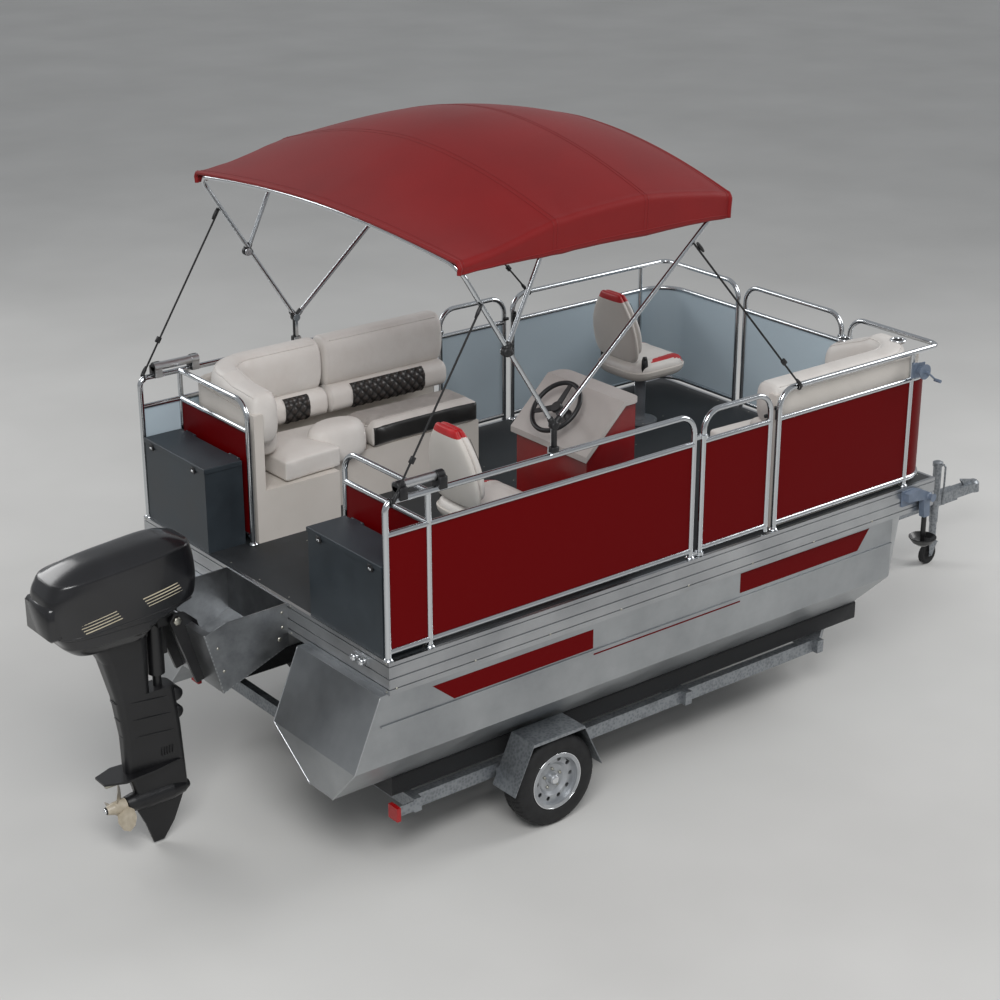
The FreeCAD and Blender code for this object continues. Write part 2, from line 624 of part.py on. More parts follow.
# ---------------------------------------------------------------- chairs
def chair(x, side):
    """Pedestal chair facing the bow: fixed foot and stem, turning seat, folding back."""
    centre = V(along(x), side * CHAIR_OFFSET, 0)
    seat_low = above(SEAT_TOP - CHAIR_SEAT)
    spider = 22.0
    foot = spun([(0, 0), (0, 115), (8, 115), (16, 95), (16, STEM + 6), (40, STEM),
                 (SEAT_TOP - CHAIR_SEAT - spider - 1, STEM),
                 (SEAT_TOP - CHAIR_SEAT - spider - 1, 0)], centre + V(0, 0, DECK_TOP), V(0, 0, 1))
    half = CHAIR_WIDTH / 2
    x0, x1 = centre.x - CHAIR_DEPTH / 2, centre.x + CHAIR_DEPTH / 2
    bracket = box((x0 + 90, x1 - 90), (centre.y - 110, centre.y + 110), (seat_low - spider, seat_low))
    pan = box((x0, x1), (centre.y - half, centre.y + half), (seat_low, above(SEAT_TOP)))
    pan = rounded(pan, 70.0, runs_along(V(0, 0, 1)))
    pan = rounded(pan, 28.0, lambda e: e.CenterOfMass.z > above(SEAT_TOP) - 1)
    seat = fused([bracket, pan])
    pivot = V(x0 + 6 + CHAIR_BACK - FOLD_INSET, centre.y, above(SEAT_TOP) + FOLD_HEIGHT)
    pin = 9.0
    cheeks = []
    for way in (-1, 1):
        y = centre.y + way * (half - 34)
        lug = box((pivot.x - 16, pivot.x + 16), (y - 6, y + 6), (above(SEAT_TOP) - 60, pivot.z))
        eye = bar(V(pivot.x, y - 6, pivot.z), V(pivot.x, y + 6, pivot.z), 16.0)
        hole = bar(V(pivot.x, y - 7, pivot.z), V(pivot.x, y + 7, pivot.z), pin + RUNNING_FIT)
        cheeks.append(fused([lug, eye]).cut(hole))
    seat = fused([seat] + cheeks)
    inside = half - 34 - 6 - 2
    foot_z = above(SEAT_TOP) + FOLD_FREE
    head = above(CHAIR_TOP)
    front = [(centre.y - inside, foot_z), (centre.y + inside, foot_z), (centre.y + half - 20, foot_z + 90),
             (centre.y + half - 30, foot_z + 230), (centre.y + 110, head - 30), (centre.y + 85, head),
             (centre.y - 85, head), (centre.y - 110, head - 30), (centre.y - half + 30, foot_z + 230),
             (centre.y - half + 20, foot_z + 90)]
    back = prism(front, "x", x0 + 6, x0 + 6 + CHAIR_BACK)
    cutter = box((x0 - 20, x0 + 200), (centre.y + inside, centre.y + half), (foot_z - 1, pivot.z + 22))
    back = back.cut(cutter).cut(cutter.mirror(centre, V(0, 1, 0)))
    back = rounded(back, 24.0,
                   lambda e: e.CenterOfMass.z > pivot.z + 60 and abs(e.CenterOfMass.x - x0 - 6) < 1)
    back = tilted(back, pivot, V(0, 1, 0), -CHAIR_TILT)
    shaft = bar(V(pivot.x, centre.y - half + 26, pivot.z), V(pivot.x, centre.y + half - 26, pivot.z), pin)
    back = fused([back, shaft])
    return foot, seat, back, pivot


# ---------------------------------------------------------------- helm
SLOPE = math.atan2(CONSOLE_HIGH - CONSOLE_LOW, CONSOLE_FORE - CONSOLE_AFT - 90.0)


def console():
    """Painted console body and its moulded top."""
    ridge = CONSOLE_FORE - 90.0
    profile = [(along(CONSOLE_AFT), DECK_TOP), (along(CONSOLE_FORE), DECK_TOP),
               (along(CONSOLE_FORE), above(CONSOLE_HIGH)),
               (along(ridge), above(CONSOLE_HIGH)), (along(CONSOLE_AFT), above(CONSOLE_LOW))]
    body = prism(profile, "y", -CONSOLE_OUT, -CONSOLE_IN)
    out = DASH_OVERHANG
    drop = out * math.tan(SLOPE)
    rise = DASH / math.cos(SLOPE)
    under = [(along(CONSOLE_AFT - out), above(CONSOLE_LOW - drop)), (along(ridge), above(CONSOLE_HIGH)),
             (along(CONSOLE_FORE + out), above(CONSOLE_HIGH)),
             (along(CONSOLE_FORE + out), above(CONSOLE_HIGH + DASH)),
             (along(ridge - 10), above(CONSOLE_HIGH + DASH)),
             (along(CONSOLE_AFT - out), above(CONSOLE_LOW - drop + rise))]
    top = prism(under, "y", -CONSOLE_OUT - out, -CONSOLE_IN + out)
    top = rounded(top, 60.0, lambda e: runs_along(V(0, 0, 1))(e) and e.CenterOfMass.x > along(CONSOLE_FORE))
    return body, top


def wheel_frame():
    """Centre of the steering wheel and the direction in which its shaft comes out."""
    normal = V(-math.sin(SLOPE), 0, math.cos(SLOPE))
    foot = V(along(CONSOLE_AFT + 115), -(CONSOLE_IN + CONSOLE_OUT) / 2,
             above(CONSOLE_LOW) + 115 * math.tan(SLOPE))
    foot = foot + normal * DASH
    return foot, normal


def steering_column():
    """Bezel on the dash, with the bore that the wheel's shaft turns in."""
    foot, normal = wheel_frame()
    return spun([(0, 9 + RUNNING_FIT), (0, 42), (12, 40), (22, 24), (WHEEL_STANDOFF - 40, 20),
                 (WHEEL_STANDOFF - 40, 9 + RUNNING_FIT)],
                foot, normal)


def steering_wheel():
    """Grip ring, three spokes and the hub with its shaft."""
    foot, normal = wheel_frame()
    centre = foot + normal * WHEEL_STANDOFF
    grip = Part.makeTorus(WHEEL_RADIUS - WHEEL_GRIP, WHEEL_GRIP, centre, normal)
    hub = spun([(-WHEEL_STANDOFF + 2, 0), (-WHEEL_STANDOFF + 2, 9), (-34, 9), (-34, 26), (-8, 34), (6, 30),
                (6, 0)], centre, normal)
    pieces = [grip, hub]
    across = V(0, 1, 0)
    up = normal.cross(across) * -1
    for degrees in (90, 210, 330):
        angle = math.radians(degrees)
        way = across * math.cos(angle) + up * math.sin(angle)
        flat = normal.cross(way)
        start = centre + way * 20 - normal * 8
        end = centre + way * (WHEEL_RADIUS - WHEEL_GRIP)
        corners = [start + flat * 19, start - flat * 19, end - flat * 12, end + flat * 12]
        pieces.append(Part.Face(Part.makePolygon(corners + corners[:1])).extrude(normal * 7))
    return fused(pieces)


# ---------------------------------------------------------------- sun canopy
# Each hoop: place along the deck, height of its shoulders, height of its crown
HOOPS = [(CANOPY_AFT, CANOPY_HEM + 67.0, CANOPY_HEM + 140.0),
         (CANOPY_MID, CANOPY_HEM + 180.0, CANOPY_HEM + 380.0),
         (CANOPY_FORE, CANOPY_HEM + 140.0, CANOPY_HEM + 340.0)]
# The cloth also stands up a little between the middle and the fore hoop
CLOTH = [HOOPS[0], HOOPS[1], ((CANOPY_MID + CANOPY_FORE) / 2, CANOPY_HEM + 215.0, CANOPY_HEM + 450.0),
         HOOPS[2]]


def canopy_section(x, shoulder, crown, inset, hem):
    """Cross-section of the cloth: two upright valances and a low arch."""
    half = CANOPY_HALF - inset
    side, top, low = above(shoulder) - inset, above(crown) - inset, above(hem)
    turn = CLOTH_SHOULDER
    arch = Part.Arc(V(x, -half + turn, side), V(x, 0, top), V(x, half - turn, side)).toShape()
    corners = [(half - turn, side), (half, side - turn), (half, low), (-half, low), (-half, side - turn),
               (-half + turn, side)]
    edges = [Part.LineSegment(V(x, *a), V(x, *b)).toShape() for a, b in zip(corners, corners[1:])]
    return Part.Wire([arch] + edges)


def canopy():
    """Cloth shell over the hoops, open below and at both ends."""
    def body(inset, hem, spill):
        solids = []
        for i, (first, second) in enumerate(zip(CLOTH, CLOTH[1:])):
            before = -spill if i == 0 else 0.0
            after = spill if i == len(CLOTH) - 2 else 0.0
            wires = [canopy_section(along(first[0]) + before, first[1], first[2], inset, hem),
                     canopy_section(along(second[0]) + after, second[1], second[2], inset, hem)]
            solids.append(Part.makeLoft(wires, True, True))
        return fused(solids)

    return body(0.0, CANOPY_HEM, 0.0).cut(body(CANOPY_CLOTH, CANOPY_HEM - 20, 5.0))


HOOP_Y = FENCE_Y - 2.0       # the hoops' legs from the centre line


def hoop_point(x, z, side):
    """Place on a hoop's side, by its distance along the deck and height above it."""
    return V(along(x), side * HOOP_Y, above(z))


JOINT = (760.0, CANOPY_HEM - 440.0)      # where the middle hoop branches from the aft one


def hoop_shoulder(row, side):
    """Corner between a hoop's leg and its roof."""
    x = min(max(row[0], CANOPY_AFT + HOOP_INSET), CANOPY_FORE - HOOP_INSET)
    return hoop_point(x, row[1] - HOOP_DROP, side)


def canopy_hoops():
    """Three hoops, each one bent tube, hinged on a clamp on each top rail."""
    pieces = []
    for side in (-1, 1):
        clamp = box((along(HUB_X) - 22, along(HUB_X) + 22), (side * (FENCE_Y - 20), side * (FENCE_Y + 20)),
                    (above(RAIL_TOP + TUBE - 6), above(RAIL_TOP + TUBE + 30)))
        pin = box((along(HUB_X) - 9, along(HUB_X) + 9), (side * (FENCE_Y - 12), side * (FENCE_Y + 12)),
                  (above(RAIL_TOP + TUBE + 20), above(HUB_Z)))
        top_rail = bar(V(along(HUB_X) - 100, side * FENCE_Y, above(RAIL_TOP)),
                       V(along(HUB_X) + 100, side * FENCE_Y, above(RAIL_TOP)), TUBE)
        pieces.append(clamp.cut(top_rail))
        pieces.append(pin)
        for x, z in ((HUB_X, HUB_Z), JOINT):
            at = hoop_point(x, z, side)
            pieces.append(bar(at - V(0, HOOP_EAR, 0), at + V(0, HOOP_EAR, 0), HOOP_BOSS))
    for row, foot in zip(HOOPS, ((HUB_X, HUB_Z), JOINT, (HUB_X, HUB_Z))):
        shoulders = [hoop_shoulder(row, side) for side in (-1, 1)]
        # the roof's one long arc rises about half as far as the point where its end tangents meet
        apex = (shoulders[0] + shoulders[1]) / 2 + V(0, 0,
                                                     2 * (row[2] - row[1]) / (1 + HOOP_SPARE / HOOP_Y))
        run = apex - shoulders[0]
        spread = (run.Length - HOOP_SPARE) * HOOP_Y / (apex.z - shoulders[0].z)
        points = [hoop_point(foot[0], foot[1], -1), shoulders[0], apex, shoulders[1],
                  hoop_point(foot[0], foot[1], 1)]
        pieces.append(tube(points, [HOOP_CORNER, spread, HOOP_CORNER], BOW_TUBE))
    return fused(pieces)


def leg_place(hoop, height):
    """X where an end hoop's leg passes a height."""
    foot, head = hoop_point(HUB_X, HUB_Z, 1), hoop_shoulder(hoop, 1)
    share = (above(height) - foot.z) / (head.z - foot.z)
    return foot.x + (head.x - foot.x) * share


def canopy_straps():
    """Four taut straps that hold the canopy's end hoops down to the top rails."""
    # hoop, height of the strap's head on its leg, place of its foot along the deck
    runs = [(HOOPS[0], CANOPY_HEM - 165.0, STRAP_AFT), (HOOPS[-1], CANOPY_HEM - 95.0, STRAP_FORE)]
    straps = []
    for hoop_row, height, foot_x in runs:
        for side in (-1, 1):
            head_y = side * (HOOP_Y + BOW_TUBE + STRAP + 0.1)
            foot_y = side * (FENCE_Y + TUBE + STRAP + 0.1)
            head = V(leg_place(hoop_row, height), head_y, above(height))
            straps.append(bar(V(along(foot_x), foot_y, above(RAIL_TOP)), head, STRAP))
    return straps


# ---------------------------------------------------------------- outboard motor
def rounded_section(z, x0, x1, half, corner):
    """Level rounded rectangle, as a wire of lines and arcs."""
    c = min(corner, half - 1, (x1 - x0) / 2 - 1)
    k = c * (1 - math.sqrt(0.5))
    corners = [((x1, half - c), (x1 - k, half - k), (x1 - c, half)),
               ((x0 + c, half), (x0 + k, half - k), (x0, half - c)),
               ((x0, -half + c), (x0 + k, -half + k), (x0 + c, -half)),
               ((x1 - c, -half), (x1 - k, -half + k), (x1, -half + c))]
    edges = []
    for i, (a, b, d) in enumerate(corners):
        edges.append(Part.Arc(V(a[0], a[1], z), V(b[0], b[1], z), V(d[0], d[1], z)).toShape())
        follow = corners[(i + 1) % 4][0]
        edges.append(Part.LineSegment(V(d[0], d[1], z), V(follow[0], follow[1], z)).toShape())
    return Part.Wire(edges)


def stacked(rows):
    """Straight-sided loft through level sections: height, rear, front, half width, corner."""
    wires = [rounded_section(above(z), along(x0), along(x1), half, corner) for z, x0, x1, half,
             corner in rows]
    return Part.makeLoft(wires, True, True)


def motor_bracket():
    """Clamp bracket over the pod's transom, with the tilt tube's bores."""
    pieces = []
    for side in (-1, 1):
        y = (side * 118, side * 96)
        # its slot is drawn inside the transom, which is then cut from it
        cheek = [(-505, 20), (-575, 30), (-600, -10), (-560, -120), (-462, -400), (-406, -385), (-500, -60),
                 (-478, -60),
                 (-434, -205), (-397, -210), (-442, -38)]
        pieces.append(prism([(along(a), above(b)) for a, b in cheek], "y", y[0], y[1]))
        screw = V(along(-410), side * 107, above(-203))
        pieces.append(bar(screw - V(12, 0, 0), screw + V(60, 0, 0), 9.0))
        pieces.append(spun([(60, 0), (60, 30), (68, 30), (68, 0)], screw, V(1, 0, 0)))
    # the tie lies low enough for the cowl's foot to pass it, tilted and steered at once
    tie = box((along(-440), along(-425)), (-96, 96), (above(-100), above(-70)))
    bore = bar(V(along(TILT_X), -130, above(TILT_Z)), V(along(TILT_X), 130, above(TILT_Z)),
               14 + RUNNING_FIT)
    return fused(pieces + [tie]).cut(bore)


def motor_swivel():
    """Swivel bracket on the tilt tube, with the bore that the leg turns in."""
    tilt = bar(V(along(TILT_X), -122, above(TILT_Z)), V(along(TILT_X), 122, above(TILT_Z)), 14)
    head = box((along(STEER_X) - 20, along(TILT_X) + 22), (-88, 88),
               (above(TILT_Z) - 24, above(TILT_Z) + 24))
    barrel = bar(V(along(STEER_X), 0, above(-330)), V(along(STEER_X), 0, above(TILT_Z) + 24), 46)
    web = box((along(STEER_X) + 20, along(TILT_X) - 10), (-14, 14), (above(-230), above(TILT_Z)))
    bore = bar(V(along(STEER_X), 0, above(-400)), V(along(STEER_X), 0, above(TILT_Z) + 60),
               24 + RUNNING_FIT)
    return fused([tilt, head, barrel, web]).cut(bore)


# Cowl sections from the foot up: height, rear, front, half width, corner radius
COWL = [(-65.0, -1100.0, -640.0, 118.0, 70.0), (0.0, -1190.0, -500.0, 158.0, 90.0),
        (100.0, -1250.0, -430.0, 176.0, 100.0),
        (200.0, -1275.0, -415.0, 180.0, 100.0), (300.0, -1262.0, -425.0, 176.0, 100.0),
        (385.0, -1195.0, -465.0, 162.0, 90.0),
        (440.0, -1080.0, -540.0, 132.0, 80.0), (460.0, -1000.0, -610.0, 92.0, 60.0)]
# The front of the cowl's foot is cut up to clear the brackets: (along, height)
COWL_CUT = [(-800.0, -70.0), (-690.0, 52.0), (-380.0, 145.0), (-380.0, -120.0), (-800.0, -120.0)]
# Leg sections from the gearcase up: height, rear, front, half width, corner radius
LEG = [(-860.0, -865.0, -512.0, 40.0, 28.0), (-640.0, -868.0, -528.0, 52.0, 36.0),
       (-400.0, -900.0, -558.0, 62.0, 40.0)]
LEG_HEAD = [(-400.0, -900.0, -702.0, 62.0, 40.0), (-170.0, -958.0, -702.0, 78.0, 50.0),
            (-65.0, -1010.0, -702.0, 90.0, 60.0)]
PLATE_Z = -862.0             # the anti-ventilation plate


def motor_cowl():
    """Cowl over the engine, cut up at the front of its foot."""
    waste = prism([(along(a), above(b)) for a, b in COWL_CUT], "y", -POD_HALF, POD_HALF)
    return stacked(COWL).cut(waste)


def motor_leg():
    """Leg with its swivel pin, anti-ventilation plate, gearcase and skeg, and the arm under the cowl."""
    head = above(TILT_Z) + 24
    pin = bar(V(along(STEER_X), 0, above(-402)), V(along(STEER_X), 0, head + 8), 24)
    arm = box((along(-760), along(STEER_X) + 30), (-40, 40), (head + 4, above(52)))
    neck = box((along(-960), along(-704)), (-60, 60), (above(-80), above(52)))
    plate = [(-1010, -50), (-1010, 50), (-900, 95), (-720, 80), (-560, 50), (-505, 0), (-560, -50),
             (-720, -80), (-900, -95)]
    plate = prism([(along(a), b) for a, b in plate], "z", above(PLATE_Z), above(PLATE_Z + 12))
    low = stacked([(SHAFT_Z, -800.0, -500.0, 30.0, 20.0), (PLATE_Z, -850.0, -512.0, 40.0, 28.0)])
    case = spun([(-390, 0), (-380, 22), (-345, 42), (-270, 56), (-120, 58), (-40, 50), (0, 42), (0, 0)],
                V(along(PROP_X + 36), 0, above(SHAFT_Z)), V(-1, 0, 0))
    skeg = [(-820, SHAFT_Z - 30), (-520, SHAFT_Z - 30), (-590, SHAFT_Z - 190), (-660, SKEG_Z),
            (-720, SKEG_Z), (-760, SHAFT_Z - 160)]
    skeg = prism([(along(a), above(b)) for a, b in skeg], "y", -8, 8)
    shaft = bar(V(along(PROP_X + 60), 0, above(SHAFT_Z)), V(along(PROP_X - 78), 0, above(SHAFT_Z)), 11)
    leg = fused([stacked(LEG), stacked(LEG_HEAD), neck, arm, pin, plate, low, case, skeg, shaft])
    return leg.cut(motor_cowl())


def propeller():
    """Hub and three skewed blades."""
    centre = V(along(PROP_X), 0, above(SHAFT_Z))
    hub = spun([(-30, 11 + RUNNING_FIT), (-30, 40), (40, 34), (80, 22), (80, 11 + RUNNING_FIT)], centre,
               V(-1, 0, 0))
    pieces = [hub]
    for i in range(BLADES):
        def section(radius, chord, pitch, thick):
            lead = math.radians(pitch)
            along_chord = V(math.sin(lead), math.cos(lead), 0) * (chord / 2)
            across = V(math.cos(lead), -math.sin(lead), 0) * (thick / 2)
            mid = centre + V(0, chord * 0.06, radius)
            corners = [mid + along_chord, mid + across, mid - along_chord, mid - across]
            return Part.makePolygon(corners + corners[:1])
        blade = Part.makeLoft([section(22, 60, 52, 12), section(70, 120, 38, 9), section(120, 118, 28, 7),
                               section(PROP_RADIUS, 50, 24, 4)], True, True)
        pieces.append(tilted(blade, centre, V(1, 0, 0), i * 360.0 / BLADES))
    bore = bar(centre + V(60, 0, 0), centre - V(120, 0, 0), 11 + RUNNING_FIT)
    return fused(pieces).cut(bore)


# ---------------------------------------------------------------- trailer
def trailer_frame():
    """Welded chassis: side rails, cross tubes, tongue, its braces and the lamp brackets."""
    pieces = []
    half = FRAME_RAIL / 2
    z = (FRAME_BOTTOM, FRAME_TOP)
    for side in (-1, 1):
        y = side * FRAME_SIDE
        pieces.append(box((along(TRAILER_CROSS[0]), along(TRAILER_CROSS[-1])), (y - half, y + half), z))
        brace = [(along(TRAILER_CROSS[-1]) - half, side * (FRAME_SIDE - half)),
                 (along(TRAILER_CROSS[-1]) + half, side * (FRAME_SIDE + half)),
                 (along(BRACE_END), side * TONGUE_WIDTH / 2), (along(BRACE_END) - 100, side * 10)]
        pieces.append(prism(brace, "z", z[0], z[1]))
        pieces.append(box((along(175), along(TRAILER_CROSS[0])),
                          (side * (CROSS_HALF - 8), side * CROSS_HALF), (z[0] + 10, z[1] - 10)))
        for x in (-FENDER_ARM, FENDER_ARM):
            pieces.append(box((x - 20, x + 20),
                              (side * FRAME_SIDE, side * (TRACK_HALF - TYRE_WIDTH / 2 - FENDER_SIDE)),
                              (z[0] + 20, z[1] - 20)))
    for x in TRAILER_CROSS:
        reach = CROSS_HALF if x != TRAILER_CROSS[1] else FRAME_SIDE
        pieces.append(box((along(x) - half, along(x) + half), (-reach, reach), z))
    pieces.append(box((along(TRAILER_CROSS[0]) - half, along(TONGUE_END)),
                      (-TONGUE_WIDTH / 2, TONGUE_WIDTH / 2),
                      (FRAME_TOP, FRAME_TOP + TONGUE_HEIGHT)))
    return fused(pieces)


def trailer_bunks():
    """Carpeted boards under the flat keels."""
    half = BUNK_WIDTH / 2
    boards = []
    for side in (-1, 1):
        board = box((along(BUNK[0]), along(BUNK[1])),
                    (side * HULL_CENTRE - half, side * HULL_CENTRE + half), (FRAME_TOP, KEEL))
        boards.append(rounded(board, 12.0, runs_along(V(1, 0, 0))))
    return boards


def axle():
    """Square axle beam with a spindle at each end."""
    half = AXLE_TUBE / 2
    reach = TRACK_HALF - TYRE_WIDTH / 2 - 22
    beam = box((-half, half), (-reach, reach), (TYRE_RADIUS - half, FRAME_BOTTOM))
    pin = bar(V(0, -TRACK_HALF - 52, TYRE_RADIUS), V(0, TRACK_HALF + 52, TYRE_RADIUS), SPINDLE)
    return fused([beam, pin])


def tyre():
    """Port tyre: flat tread, rounded shoulders and bulged walls."""
    half = TYRE_WIDTH / 2
    wall = RIM_RADIUS - 8
    outline = [(-half + 24, wall), (-half + 6, wall + 16), (-half, wall + 50),
               (-half + 8, TYRE_RADIUS - 18), (-half + 24, TYRE_RADIUS - 4),
               (-half + 40, TYRE_RADIUS), (half - 40, TYRE_RADIUS), (half - 24, TYRE_RADIUS - 4),
               (half - 8, TYRE_RADIUS - 18),
               (half, wall + 50), (half - 6, wall + 16), (half - 24, wall)]
    return spun(outline, V(0, TRACK_HALF, TYRE_RADIUS), V(0, 1, 0))


def rim():
    """Port wheel: rolled rim, dished disc with round holes, and the hub with its cap."""
    centre = V(0, TRACK_HALF, TYRE_RADIUS)
    out = TYRE_WIDTH / 2 - 6
    seat = RIM_RADIUS - 8
    ring = spun([(-out, seat - 14), (-out, seat + 7), (-out + 6, seat + 7), (-out + 12, seat),
                 (out - 12, seat), (out - 6, seat + 7), (out, seat + 7),
                 (out, seat - 14), (out - 10, seat - 8), (-out + 10, seat - 8)], centre, V(0, 1, 0))
    disc = spun([(22, 40), (22, 86), (38, 104), (40, seat - 6), (46, seat - 6), (44, 100), (28, 82),
                 (28, 40)], centre, V(0, 1, 0))
    hub = spun([(-30, SPINDLE + RUNNING_FIT), (-30, 46), (22, 46), (32, 42), (32, 32), (58, 30), (64, 24),
                (64, 0), (54, 0), (54, SPINDLE + RUNNING_FIT)],
               centre, V(0, 1, 0))
    wheel = fused([ring, disc, hub])
    holes = 10
    for i in range(holes):
        angle = 2 * math.pi * i / holes
        at = centre + V(118 * math.cos(angle), 0, 118 * math.sin(angle))
        wheel = wheel.cut(bar(at + V(0, 0, 0), at + V(0, 70, 0), 13.0))
    return wheel


def fender():
    """Port mudguard: folded sheet with three facets, an upright back plate and a lip."""
    top = 2 * TYRE_RADIUS + FENDER_GAP
    foot = TYRE_RADIUS + 10
    t = FENDER_SHEET
    inner = [(-FENDER_FOOT, foot), (-FENDER_CROWN, top), (FENDER_CROWN, top), (FENDER_FOOT, foot)]
    outer = [(-FENDER_FOOT - t, foot), (-FENDER_CROWN - t / 2, top + t), (FENDER_CROWN + t / 2, top + t),
             (FENDER_FOOT + t, foot)]
    y0 = TRACK_HALF - TYRE_WIDTH / 2 - FENDER_SIDE
    y1 = TRACK_HALF + TYRE_WIDTH / 2 + 10
    roof = prism(outer + inner[::-1], "y", y0, y1)
    plate = prism(outer, "y", y0, y0 + t)
    lip = prism([(-FENDER_CROWN - 8, top - 14), outer[1], outer[2], (FENDER_CROWN + 8, top - 14)], "y",
                y1 - t, y1)
    return fused([roof, plate, lip]).cut(axle())


def tail_lamps():
    """Red lamps on the rear brackets."""
    lamps = []
    for side in (-1, 1):
        lamps.append(box((along(150), along(175)), (side * (CROSS_HALF - 60), side * (CROSS_HALF + 20)),
                         (FRAME_BOTTOM - 5, FRAME_TOP - 5)))
    return lamps


def coupler():
    """Pressed coupler on the tongue's end, with its ball socket and latch lever."""
    low, high = FRAME_TOP, FRAME_TOP + TONGUE_HEIGHT
    x0, x1 = along(TONGUE_END), along(TONGUE_END + 250)
    sleeve = box((x0, x1 - 60), (-TONGUE_WIDTH / 2, TONGUE_WIDTH / 2), (low + 12, high - 6))
    dome = spun([(low + 8, 0), (low + 8, 46), (high - 12, 42), (high + 4, 26), (high + 4, 0)],
                V(x1 - 40, 0, 0), V(0, 0, 1))
    lever = prism([(x1 - 150, high - 6), (x1 - 60, high - 6), (x1 - 60, high + 14), (x1 - 180, high + 44),
                   (x1 - 185, high + 34)], "y", -10, 10)
    socket = bar(V(x1 - 40, 0, low), V(x1 - 40, 0, low + 55), BALL)
    return fused([sleeve, dome, lever]).cut(socket)


def winch_stand():
    """Post on the tongue with the winch drum and the padded bow stop."""
    top = FRAME_TOP + TONGUE_HEIGHT
    x = along(STAND_X)
    stop_z = DECK_TOP - FASCIA_HEIGHT / 2
    post_ = prism([(x, top), (x + 70, top), (x - 120, stop_z + 20), (x - 180, stop_z + 20)], "y", -30, 30)
    foot = box((x - 40, x + 130), (-TONGUE_WIDTH / 2, TONGUE_WIDTH / 2), (top, top + 8))
    arm = box((DECK_BOW + 30, x - 130), (-25, 25), (stop_z - 25, stop_z + 20))
    pad = bar(V(DECK_BOW + 30, -90, stop_z), V(DECK_BOW + 30, 90, stop_z), 30)
    drum = spun([(-50, 0), (-50, 60), (-44, 60), (-44, 28), (44, 28), (44, 60), (50, 60), (50, 0)],
                V(x - 58, 0, stop_z - 190), V(0, 1, 0))
    crank = [bar(V(x - 58, -50, stop_z - 190), V(x - 58, -75, stop_z - 190), 9),
             bar(V(x - 58, -70, stop_z - 190), V(x + 60, -70, stop_z - 60), 7),
             bar(V(x + 60, -64, stop_z - 60), V(x + 60, -150, stop_z - 60), 11)]
    return fused([post_, foot, arm, pad, drum] + crank)


def jack_tube():
    """Outer tube of the tongue jack with its clamp, cap and crank."""
    at = V(along(JACK_X), JACK_Y, 0)
    outer = bar(at + V(0, 0, JACK_FOOT), at + V(0, 0, JACK_TOP), JACK_TUBE)
    bore = bar(at + V(0, 0, JACK_FOOT - 1), at + V(0, 0, JACK_TOP - 30),
               JACK_TUBE - JACK_WALL + RUNNING_FIT)
    clamp = box((at.x - 45, at.x + 45), (JACK_Y, -TONGUE_WIDTH / 2),
                (FRAME_TOP + 5, FRAME_TOP + TONGUE_HEIGHT - 5))
    cap = spun([(0, 0), (0, 36), (26, 36), (34, 20), (34, 0)], at + V(0, 0, JACK_TOP), V(0, 0, 1))
    crank = tube([at + V(0, 0, JACK_TOP + 20), at + V(0, -70, JACK_TOP + 20),
                  at + V(0, -70, JACK_TOP - 170)], [20], 7)
    grip = bar(at + V(0, -70, JACK_TOP - 170), at + V(0, -70, JACK_TOP - 270), 13)
    return fused([outer.fuse(clamp).cut(bore), cap, crank, grip])


def jack_leg():
    """Inner tube that the crank drives."""
    at = V(along(JACK_X), JACK_Y, 0)
    leg = bar(at + V(0, 0, 2 * JACK_WHEEL + 14), at + V(0, 0, JACK_TOP - 200), JACK_TUBE - JACK_WALL)
    stub = bar(at + V(0, 0, 2 * JACK_WHEEL + 3), at + V(0, 0, 2 * JACK_WHEEL + 14), 10)
    return fused([leg, stub])


def jack_fork():
    """Turning fork of the jack's castor."""
    at = V(along(JACK_X), JACK_Y, 0)
    top = 2 * JACK_WHEEL + 13
    crown = box((at.x - 60, at.x + 26), (JACK_Y - 34, JACK_Y + 34), (top - 6, top))
    crown = crown.cut(bar(at + V(0, 0, top - 10), at + V(0, 0, top + 1), 10 + RUNNING_FIT))
    hub = at + V(-JACK_TRAIL, 0, JACK_WHEEL)
    pieces = [crown]
    for side in (-1, 1):
        cheek = [(at.x - 60, top), (at.x + 26, top), (hub.x + 14, JACK_WHEEL - 12),
                 (hub.x - 14, JACK_WHEEL - 12)]
        pieces.append(prism(cheek, "y", JACK_Y + side * 30, JACK_Y + side * 34))
    pieces.append(bar(hub - V(0, 42, 0), hub + V(0, 42, 0), 7))
    return fused(pieces)


def jack_wheel():
    """Solid castor wheel."""
    hub = V(along(JACK_X) - JACK_TRAIL, JACK_Y, JACK_WHEEL)
    return spun([(-24, 7 + RUNNING_FIT), (-24, 30), (-16, 36), (-20, 62), (-14, JACK_WHEEL),
                 (14, JACK_WHEEL), (20, 62), (16, 36), (24, 30),
                 (24, 7 + RUNNING_FIT)], hub, V(0, 1, 0))


# ---------------------------------------------------------------- fittings
def canopy_rests():
    """Two tubes between black brackets on the aft top rails, on which the folded canopy lies."""
    rests = []
    for side in (-1, 1):
        y = side * (FENCE_Y - REST_INSET)
        middle = above(RAIL_TOP + REST_RISE)
        body = [bar(V(along(REST_AFT), y, middle), V(along(REST_FORE), y, middle), REST_TUBE)]
        for x in (REST_AFT, REST_FORE - REST_BRACKET):
            clamp = box((along(x), along(x) + REST_BRACKET), (y - REST_TUBE, side * (FENCE_Y + TUBE)),
                        (above(RAIL_TOP), middle))
            body.append(clamp)
            body.append(bar(V(along(x), y, middle), V(along(x) + REST_BRACKET, y, middle), REST_TUBE + 3))
        rail_run = bar(V(along(0), side * FENCE_Y, above(RAIL_TOP)),
                       V(along(400), side * FENCE_Y, above(RAIL_TOP)), TUBE)
        rests.append(fused(body).cut(rail_run))
    return rests


